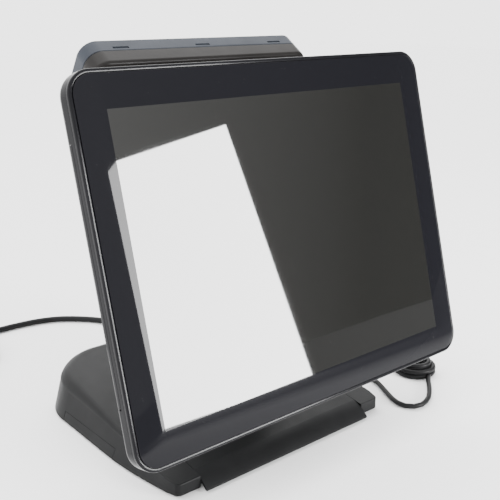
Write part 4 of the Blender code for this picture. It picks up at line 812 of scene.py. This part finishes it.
def base_rings(shrink):
    outer = mirrored(base_outline())
    lean = [
        max(0.0, abs(x) - TOP_HALF_WIDTH) * (1 - ease(y, 0.12, BASE_DEPTH))
        + TOP_REAR_INSET * ease(y, 0.12, BASE_DEPTH)
        for x, y in outer
    ]
    foot = inset(outer, [shrink] * len(outer))
    rim = inset(outer, [shrink + amount for amount in lean])
    edge = [
        max(EDGE_RADIUS_FRONT + EDGE_RADIUS_GROWTH * ease(y, 0.02, BASE_DEPTH) - shrink, GAP)
        for _, y in outer
    ]
    drop = shrink / cos(TOP_SLOPE)
    rings = [[(x, y, BASE_CLEARANCE) for x, y in foot]]
    if shrink:
        rings.insert(0, [(x, y, BASE_CLEARANCE - shrink) for x, y in foot])
    for step in range(9):
        turn = pi / 2 * step / 8
        loop = inset(rim, [r * (1 - cos(turn)) for r in edge])
        rings.append(
            [(x, y, top_height(y) - drop - r * (1 - sin(turn))) for (x, y), r in zip(loop, edge)]
        )
    return rings


def base_shell(name):
    made = add(name, loft_mesh(name, base_rings(0), True), BASE, MATTE)
    hollow = add(name + "_hollow", loft_mesh(name + "_hollow", base_rings(WALL), True), BASE)
    boolean(made, hollow)
    return bake(made, [hollow])


def make_base():
    cover = base_shell("base_top_shell")
    tall = 0.1
    side = FRONT_COVER_HALF + GAP
    tools = [
        block("front_bay", (-side, -tall, -tall), (side, FRONT_COVER_BACK + GAP, tall), BASE),
        block(
            "neck_hole", (-NECK_HALF_WIDTH + 2 * WALL, NECK_FOOT_FRONT + WALL, -tall),
            (NECK_HALF_WIDTH - 2 * WALL, NECK_FOOT_BACK - 3 * WALL, tall), BASE,
        ),
        block(
            "port_bay", (-PORT_BAY_HALF, BASE_DEPTH - BASE_REAR_CORNER / 2, INSIDE_FLOOR),
            (PORT_BAY_HALF, BASE_DEPTH + tall, INSIDE_FLOOR - GAP + PORT_BAY_HEIGHT), BASE,
        ),
    ]
    for name, sign in (("left", -1), ("right", 1)):
        for slack in (0.0, GAP):
            x_in, x_out = sign * (TOP_HALF_WIDTH - STRIP_DEPTH), sign * (BASE_HALF_WIDTH + WALL)
            bounds = block(
                "strip_bounds", (min(x_in, x_out), STRIP_FRONT - slack, -tall),
                (max(x_in, x_out), STRIP_BACK + slack, BASE_CLEARANCE + STRIP_HEIGHT + slack), BASE,
            )
            if slack:
                tools.append(bounds)
            else:
                strip = base_shell("base_strip_" + name)
                boolean(strip, bounds, "INTERSECT")
                bake(strip, [bounds])
                finish_edges(strip, 0.0007)
                take_over(strip, STRIP_BODIES[name], "side_strip_" + name)
    for tool in tools:
        boolean(cover, tool)
    bake(cover, tools)
    finish_edges(cover, 0.0005, 38)
    take_over(cover, BASE_BODY, "base_cover")


def make_front_cover():
    lip_y = -FRONT_COVER_PROUD
    knee_z = top_height(FRONT_COVER_KNEE)
    start = Vector((FRONT_COVER_KNEE, knee_z))
    control = Vector((0, knee_z - FRONT_COVER_SAG))
    finish = Vector((lip_y, BASE_CLEARANCE + FRONT_COVER_LIP))
    sweep, steps = [], 28
    for i in range(steps + 1):
        t = i / steps
        sweep.append((1 - t) ** 2 * start + 2 * t * (1 - t) * control + t * t * finish)
    top = [Vector((FRONT_COVER_BACK, top_height(FRONT_COVER_BACK)))] + sweep
    inner = []
    for i, point in enumerate(top):
        along = (top[min(i + 1, len(top) - 1)] - top[max(i - 1, 0)]).normalized()
        inner.append(point + WALL * Vector((-along.y, along.x)))
    inner[0] = Vector((FRONT_COVER_BACK, top[0].y - WALL / cos(TOP_SLOPE)))
    inner[-1] = Vector((lip_y + WALL, BASE_CLEARANCE))
    outline = top + [Vector((lip_y, BASE_CLEARANCE))] + list(reversed(inner))
    cover = flat_solid(
        "base_front_panel", [tuple(p) for p in outline], -FRONT_COVER_HALF, FRONT_COVER_HALF,
        BASE, MATTE,
    )
    finish_edges(cover, 0.0005, 40)
    take_over(cover, BASE_BODY, "base_front_cover")


# ---- head ----
def make_glass():
    """One sheet with a polished edge; its printed border is a second finish on the same sheet."""
    edge = 0.00035
    sections = [
        (GLASS_THICKNESS, 0.0), (edge, 0.0), (edge * 0.45, edge * 0.12),
        (edge * 0.12, edge * 0.45), (0.0, edge),
    ]
    rings = skin_rings(
        sections, GLASS_WIDTH, GLASS_HEIGHT, lambda inwards: GLASS_CORNER - inwards, 20
    )
    mesh = loft_mesh("front_glass", rings, True)
    shape = bmesh.new()
    shape.from_mesh(mesh)
    half_width, half_height, middle = PICTURE_WIDTH / 2, PICTURE_HEIGHT / 2, PICTURE_MIDDLE_Z
    for sign in (-1, 1):
        for point, normal in (
            ((sign * half_width, 0, 0), (1, 0, 0)),
            ((0, 0, middle + sign * half_height), (0, 0, 1)),
        ):
            everything = list(shape.verts) + list(shape.edges) + list(shape.faces)
            bmesh.ops.bisect_plane(shape, geom=everything, plane_co=point, plane_no=normal)
    shape.to_mesh(mesh)
    shape.free()
    glass = add("front_glass", mesh, HEAD, BORDER)
    mesh.materials.append(ACTIVE)
    for face in mesh.polygons:
        inside = abs(face.center.x) < half_width and abs(face.center.z - middle) < half_height
        face.material_index = 1 if inside and face.center.y < edge / 2 else 0
    mesh.shade_smooth()
    mesh.set_sharp_from_angle(angle=radians(50))
    take_over(glass, HEAD_BODY, "touch_glass")


def make_rim():
    """The frame round the glass: a rounded outer edge and a small bevel down to the glass."""
    radius, bevel = 0.0013, 0.00045
    lip, shelf = RIM_WIDTH - GAP, 0.0138
    profile = [
        (radius * (1 - cos(pi / 2 * i / 6)), RIM_SETBACK + radius * (1 - sin(pi / 2 * i / 6)))
        for i in range(7)
    ]
    profile += [
        (lip - bevel, RIM_SETBACK), (lip - bevel * 0.4, RIM_SETBACK + bevel * 0.25),
        (lip, RIM_SETBACK + bevel), (lip, GLASS_THICKNESS + GAP), (shelf, GLASS_THICKNESS + GAP),
        (shelf, SHELF_BACK), (WALL + 2 * GAP, SHELF_BACK), (WALL + 2 * GAP, RIM_BACK),
        (0.0, RIM_BACK),
    ]
    sections = [(depth, inwards) for inwards, depth in profile]
    rings = skin_rings(
        sections, FRAME_WIDTH, FRAME_HEIGHT, lambda inwards: FRAME_CORNER - inwards, 20
    )
    ring = loft_mesh("front_rim", rings, close_end=False, wrap=True)
    rim = add("front_rim", ring, HEAD, GLOSS)
    rim.data.shade_smooth()
    rim.data.set_sharp_from_angle(angle=radians(40))
    take_over(rim, HEAD_BODY, "front_frame")


def housing_rings():
    """Side wall, round edge, then the raised middle with soft feet and edges."""
    sections = [(HOUSING_FRONT, 0.0), (SLAB_STRAIGHT, 0.0)]
    steps = 12
    for step in range(1, steps + 1):
        turn = pi / 2 * step / steps
        sections.append((
            SLAB_STRAIGHT + SLAB_EDGE_RADIUS * sin(turn), SLAB_EDGE_RADIUS * (1 - cos(turn))
        ))
    foot = Vector((SLAB_BACK, HUMP_FOOT_INSET))
    brow = Vector((HUMP_DEPTH, HUMP_TOP_INSET))
    rise = (brow - foot).normalized()
    for corner, before, after, size in (
        (foot, Vector((0, 1)), rise, 0.0025), (brow, rise, Vector((0, 1)), 0.0022)
    ):
        for i in range(6):
            t = i / 5
            sections.append(tuple(
                (1 - t) ** 2 * (corner - before * size) + 2 * t * (1 - t) * corner
                + t * t * (corner + after * size)
            ))
    return skin_rings(
        sections, FRAME_WIDTH, FRAME_HEIGHT,
        lambda inwards: max(FRAME_CORNER - inwards, HUMP_CORNER), 14,
    )


def shell(made, thickness):
    solidify = made.modifiers.new("wall", "SOLIDIFY")
    solidify.thickness = thickness
    solidify.offset = -1
    solidify.use_even_offset = True
    return bake(made)


def make_housing():
    """The glossy rear housing and its side door; the faces that look backwards are matt."""
    housing, cover = (
        shell(add(name, loft_mesh(name, housing_rings()), HEAD, HOUSING), WALL)
        for name in ("rear_shell", "side_door")
    )
    outside = FRAME_WIDTH / 2 + WALL
    tools = []
    for slack in (0.0, GAP):
        bounds = block(
            "side_bounds", (-outside, SIDE_BAY_START - slack, -SIDE_BAY_LENGTH / 2 - slack),
            (
                -FRAME_WIDTH / 2 + SIDE_BAY_WRAP + slack, SLAB_BACK + WALL,
                SIDE_BAY_LENGTH / 2 + slack,
            ),
            HEAD,
        )
        if slack:
            tools.append(bounds)
        else:
            pry = block(
                "pry_slot", (-outside, 0.0, -SIDE_BAY_LENGTH / 2 - WALL),
                (-FRAME_WIDTH / 2 + 0.0035, SLAB_BACK, -SIDE_BAY_LENGTH / 2 + 0.0010), HEAD,
            )
            boolean(cover, bounds, "INTERSECT")
            boolean(cover, pry)
            bake(cover, [bounds, pry])
    deep, out = HUMP_DEPTH - 2 * WALL, HUMP_DEPTH + WALL
    right = HUMP_HALF_WIDTH - DRIVE_BAY_FROM_EDGE
    left = right - DRIVE_BAY_WIDTH
    low, high = DRIVE_BAY_Z
    tools.append(block("drive_bay", (left, deep, low), (right, out, high), HEAD))
    vent_left = VENT_FROM_EDGE - HUMP_HALF_WIDTH
    for i in range(VENT_COUNT):
        z = VENT_LOW + VENT_PITCH * i
        slot = rounded_rectangle(VENT_WIDTH / 2, VENT_HEIGHT / 2, VENT_HEIGHT * 0.48, 6)
        tools.append(add("vent", loft_mesh("vent", [
            [(vent_left + VENT_WIDTH / 2 + x, y, z + VENT_HEIGHT / 2 + up) for x, up in slot]
            for y in (deep, out)
        ], True), HEAD))
    for x, z in SCREW_PLACES:
        tools.append(rod("screw_hole", (x, deep, z), (x, out, z), 0.0023, HEAD))
    x, z = FRAME_WIDTH / 2 - BUTTON_FROM_SIDE, -FRAME_HEIGHT / 2 + BUTTON_FROM_BOTTOM
    tools.append(rod(
        "button_hole", (x, SLAB_BACK - 2 * WALL, z), (x, SLAB_BACK + WALL, z),
        BUTTON_RADIUS + GAP, HEAD,
    ))
    for tool in tools:
        boolean(housing, tool)
    bake(housing, tools)
    for made, body, node in (
        (housing, HEAD_BODY, "rear_housing"), (cover, DOOR_BODY, "side_bay_cover")
    ):
        made.data.materials.append(BACK)
        for face in made.data.polygons:
            face.material_index = 1 if face.normal.y > 0.3 else 0
        finish_edges(made, 0.00035, 42)
        take_over(made, body, node)


# ---- customer display ----
def display_skin(name, sections):
    return loft_mesh(name, skin_rings(
        sections, DISPLAY_WIDTH, DISPLAY_HEIGHT, lambda inwards: DISPLAY_CORNER - inwards / 2, 16
    ))


def eye_outline(foot_a, foot_b, centre, radius):
    """A round eye with straight sides down to its two feet."""
    def touching(foot, side):
        away = Vector(foot) - Vector(centre)
        turn = atan2(away.y, away.x)
        return turn + side * (pi / 2 - atan2(radius, sqrt(away.length_squared - radius**2)))

    start, end = touching(foot_b, -1), touching(foot_a, 1)
    end = start - (start - end) % (2 * pi)
    return [foot_a, foot_b] + arc(centre, radius, start, end, 24)


def rounded_step(depth, inwards, turn_depth, turn_in, steps=6):
    """A quarter turn from a wall at depth to a face, as depth and inset pairs."""
    return [
        (depth + turn_depth * sin(turn), inwards + turn_in * (1 - cos(turn)))
        for turn in (pi / 2 * i / steps for i in range(steps + 1))
    ]


def make_display():
    sections = [(SEAM - GAP / 2, 0.0004), (SEAM - GAP / 2 - 0.0004, 0.0)]
    sections += rounded_step(
        OPERATOR_FACE + DISPLAY_CHAMFER, 0.0, -DISPLAY_CHAMFER, DISPLAY_CHAMFER, 8
    )
    skin = display_skin("display_back_shell", sections)
    operator = shell(add("display_back_shell", skin, DISPLAY, SHELL_DARK), DISPLAY_WALL)
    lug = eye_outline(
        (OPERATOR_FACE + DISPLAY_WALL / 2, LUG_FOOT), (OPERATOR_FACE + DISPLAY_WALL / 2, -LUG_FOOT),
        (0, 0), DISPLAY_BARREL,
    )
    lugs = []
    lug_in = ARM_HALF_WIDTH + GAP
    for sign in (-1, 1):
        near, far = sorted((sign * lug_in, sign * (lug_in + LUG_WIDTH)))
        lugs.append(boolean(operator, flat_solid("lug", lug, near, far, DISPLAY), "UNION"))
    reach = 2 * ARM_HALF_WIDTH
    pin = DISPLAY_PIN_RADIUS + GAP
    lugs.append(boolean(operator, rod("lug_hole", (-reach, 0, 0), (reach, 0, 0), pin, DISPLAY)))
    bake(operator, lugs)
    sections = [(SEAM + GAP / 2, 0.0004), (SEAM + GAP / 2 + 0.0004, 0.0)]
    sections += rounded_step(CUSTOMER_FACE - 0.002, 0.0, 0.002, 0.002)
    skin = display_skin("display_front_shell", sections)
    customer = shell(add("display_front_shell", skin, DISPLAY, SHELL_BLUE), DISPLAY_WALL)
    half_width, half_height = WINDOW_WIDTH / 2 + GAP, WINDOW_HEIGHT / 2 + GAP
    tools = [add("window_hole", loft_mesh("window_hole", [
        [(x, y, z) for x, z in rounded_rectangle(half_width, half_height, 0.002, 6)]
        for y in (CUSTOMER_FACE - 2 * DISPLAY_WALL, CUSTOMER_FACE + DISPLAY_WALL)
    ], True), DISPLAY)]
    top = DISPLAY_HEIGHT / 2
    for x in (-0.082, 0.0, 0.082):
        tools.append(block(
            "snap_slot", (x - 0.0075, SEAM + 0.0022, top - 0.0010),
            (x + 0.0075, SEAM + 0.0046, top + 0.002), DISPLAY,
        ))
    for tool in tools:
        boolean(customer, tool)
    bake(customer, tools)
    for made, node in (
        (operator, "display_operator_shell"), (customer, "display_customer_shell")
    ):
        finish_edges(made, 0.00025, 45)
        take_over(made, DISPLAY_BODY, node)


# ---- small details on the carried-over pieces ----
PORT_LOW = INSIDE_FLOOR + 0.0022 + GAP


def make_screws():
    """Round heads with a cross recess, on the bracket's back."""
    back = HUMP_DEPTH + GAP + BRACKET_THICKNESS
    for number, (x, z) in enumerate(SCREW_PLACES, 1):
        rings = []
        for depth, radius in (
            (back + GAP, 0.0038), (back + GAP + 0.0009, 0.0038), (back + GAP + 0.0016, 0.0034),
            (back + GAP + 0.0020, 0.0027), (back + GAP + 0.0022, 0.0016),
        ):
            rings.append([(px, depth, pz) for px, pz in arc((x, z), radius, 0, 2 * pi, 40)[:-1]])
        mesh = loft_mesh("screw_head", rings, True)
        head = add(f"bracket_screw_head_{number}", mesh, HEAD, STEEL)
        tools = []
        for wide, tall in ((0.0044, 0.0008), (0.0008, 0.0044)):
            tools.append(block(
                "cross", (x - wide / 2, back + 0.0010, z - tall / 2),
                (x + wide / 2, back + 0.0050, z + tall / 2), HEAD,
            ))
        shank = rod("shank", (x, HUMP_DEPTH - 0.0045, z), (x, back + 0.0010, z), 0.002, HEAD)
        boolean(head, shank, "UNION")
        for tool in tools:
            boolean(head, tool)
        bake(head, tools + [shank])
        finish_edges(head, 0.00012, 40)
        take_over(head, HEAD_BODY, f"bracket_screw_{number}")


def detail(name, low, high, finish, bevel=0.0002):
    take_over(block(name, low, high, BASE, finish, bevel), BASE_BODY)


def make_port_insides():
    """Contact tongues and pins inside the rear sockets."""
    face = BASE_DEPTH - 0.0095
    usb_x, usb_middle = 0.0015, PORT_LOW + 0.0155 / 2
    for number, lift in enumerate((-0.0036, 0.0036)):
        z = usb_middle + lift
        detail(
            f"usb_tongue_{number}", (usb_x - 0.0056, face - 0.0098, z + 0.0002),
            (usb_x + 0.0056, face - 0.0012, z + 0.0020), MOULDED,
        )
        for pin in range(4):
            x = usb_x - 0.00375 + 0.0025 * pin
            detail(
                f"usb_contact_{number}_{pin}", (x - 0.0005, face - 0.0090, z),
                (x + 0.0005, face - 0.0018, z + 0.00025), GOLD, 0.00005,
            )
    x, z = -0.0265, PORT_LOW + 0.0125 / 2
    for row, count in ((0.0014, 5), (-0.0014, 4)):
        for pin in range(count):
            px = x + (pin - (count - 1) / 2) * 0.00277
            take_over(rod(
                f"serial_pin_{count}_{pin}", (px, face - 0.0064, z + row),
                (px, face - 0.0012, z + row), 0.0005, BASE, GOLD, 12,
            ), BASE_BODY)
    for sign in (-1, 1):
        take_over(rod(
            f"serial_post_{sign}", (x + sign * 0.0125, face - 0.0005, z),
            (x + sign * 0.0125, face + 0.0032, z), 0.0024, BASE, CHROME, 6,
        ), BASE_BODY)
    x, z = -0.0525, PORT_LOW + 0.006
    for pin in range(6):
        px = x - 0.0025 + 0.001 * pin
        detail(
            f"drawer_contact_{pin}", (px - 0.0002, face - 0.0085, z + 0.0012),
            (px + 0.0002, face - 0.0030, z + 0.0016), GOLD, 0.00005,
        )


# ---- everything else keeps its shape ----
def finish_rest():
    for finish, width, nodes in (
        (STEEL, 0.0003, "base_plate chassis_plate"),
        (STEEL, 0.0004, "neck_frame head_bracket display_pin"),
        (SPRING, 0.0005, "hinge_shaft"),
        (SPRING, 0.0003, "friction_washer_left friction_washer_right"),
        (STEEL, 0.0005, "hinge_nut_left hinge_nut_right"),
        (NECK, 0.0005, "neck_front_cover neck_rear_cover display_arm"),
        (ALUMINIUM, 0.0004, "power_supply"),
        (BOARD, 0.0001, "io_board main_board touch_controller"),
        (SOCKET, 0.0003, "usb_ports serial_port drawer_port lan_port"),
        (MATTE, 0.0004, "power_inlet drive_bay_cover"),
        (PANEL, 0.0004, "lcd_module"),
        (ALUMINIUM, 0.0003, "heat_sink"),
        (MEMORY, 0.0002, "memory_module"),
        (ALUMINIUM, 0.0005, "storage_drive"),
        (SPEAKER, 0.0004, "speaker_left speaker_right"),
        (GLOSS, 0.0004, "power_button"),
        (WINDOW, 0.0003, "display_window"),
        (PANEL, 0.0003, "display_module"),
        (RUBBER, 0.0003, "rubber_foot_1 rubber_foot_2 rubber_foot_3 rubber_foot_4"),
    ):
        for node in nodes.split():
            refine(node, finish, width)


make_cords()
make_base()
make_front_cover()
make_glass()
make_rim()
make_housing()
make_display()
make_screws()
make_port_insides()
finish_rest()
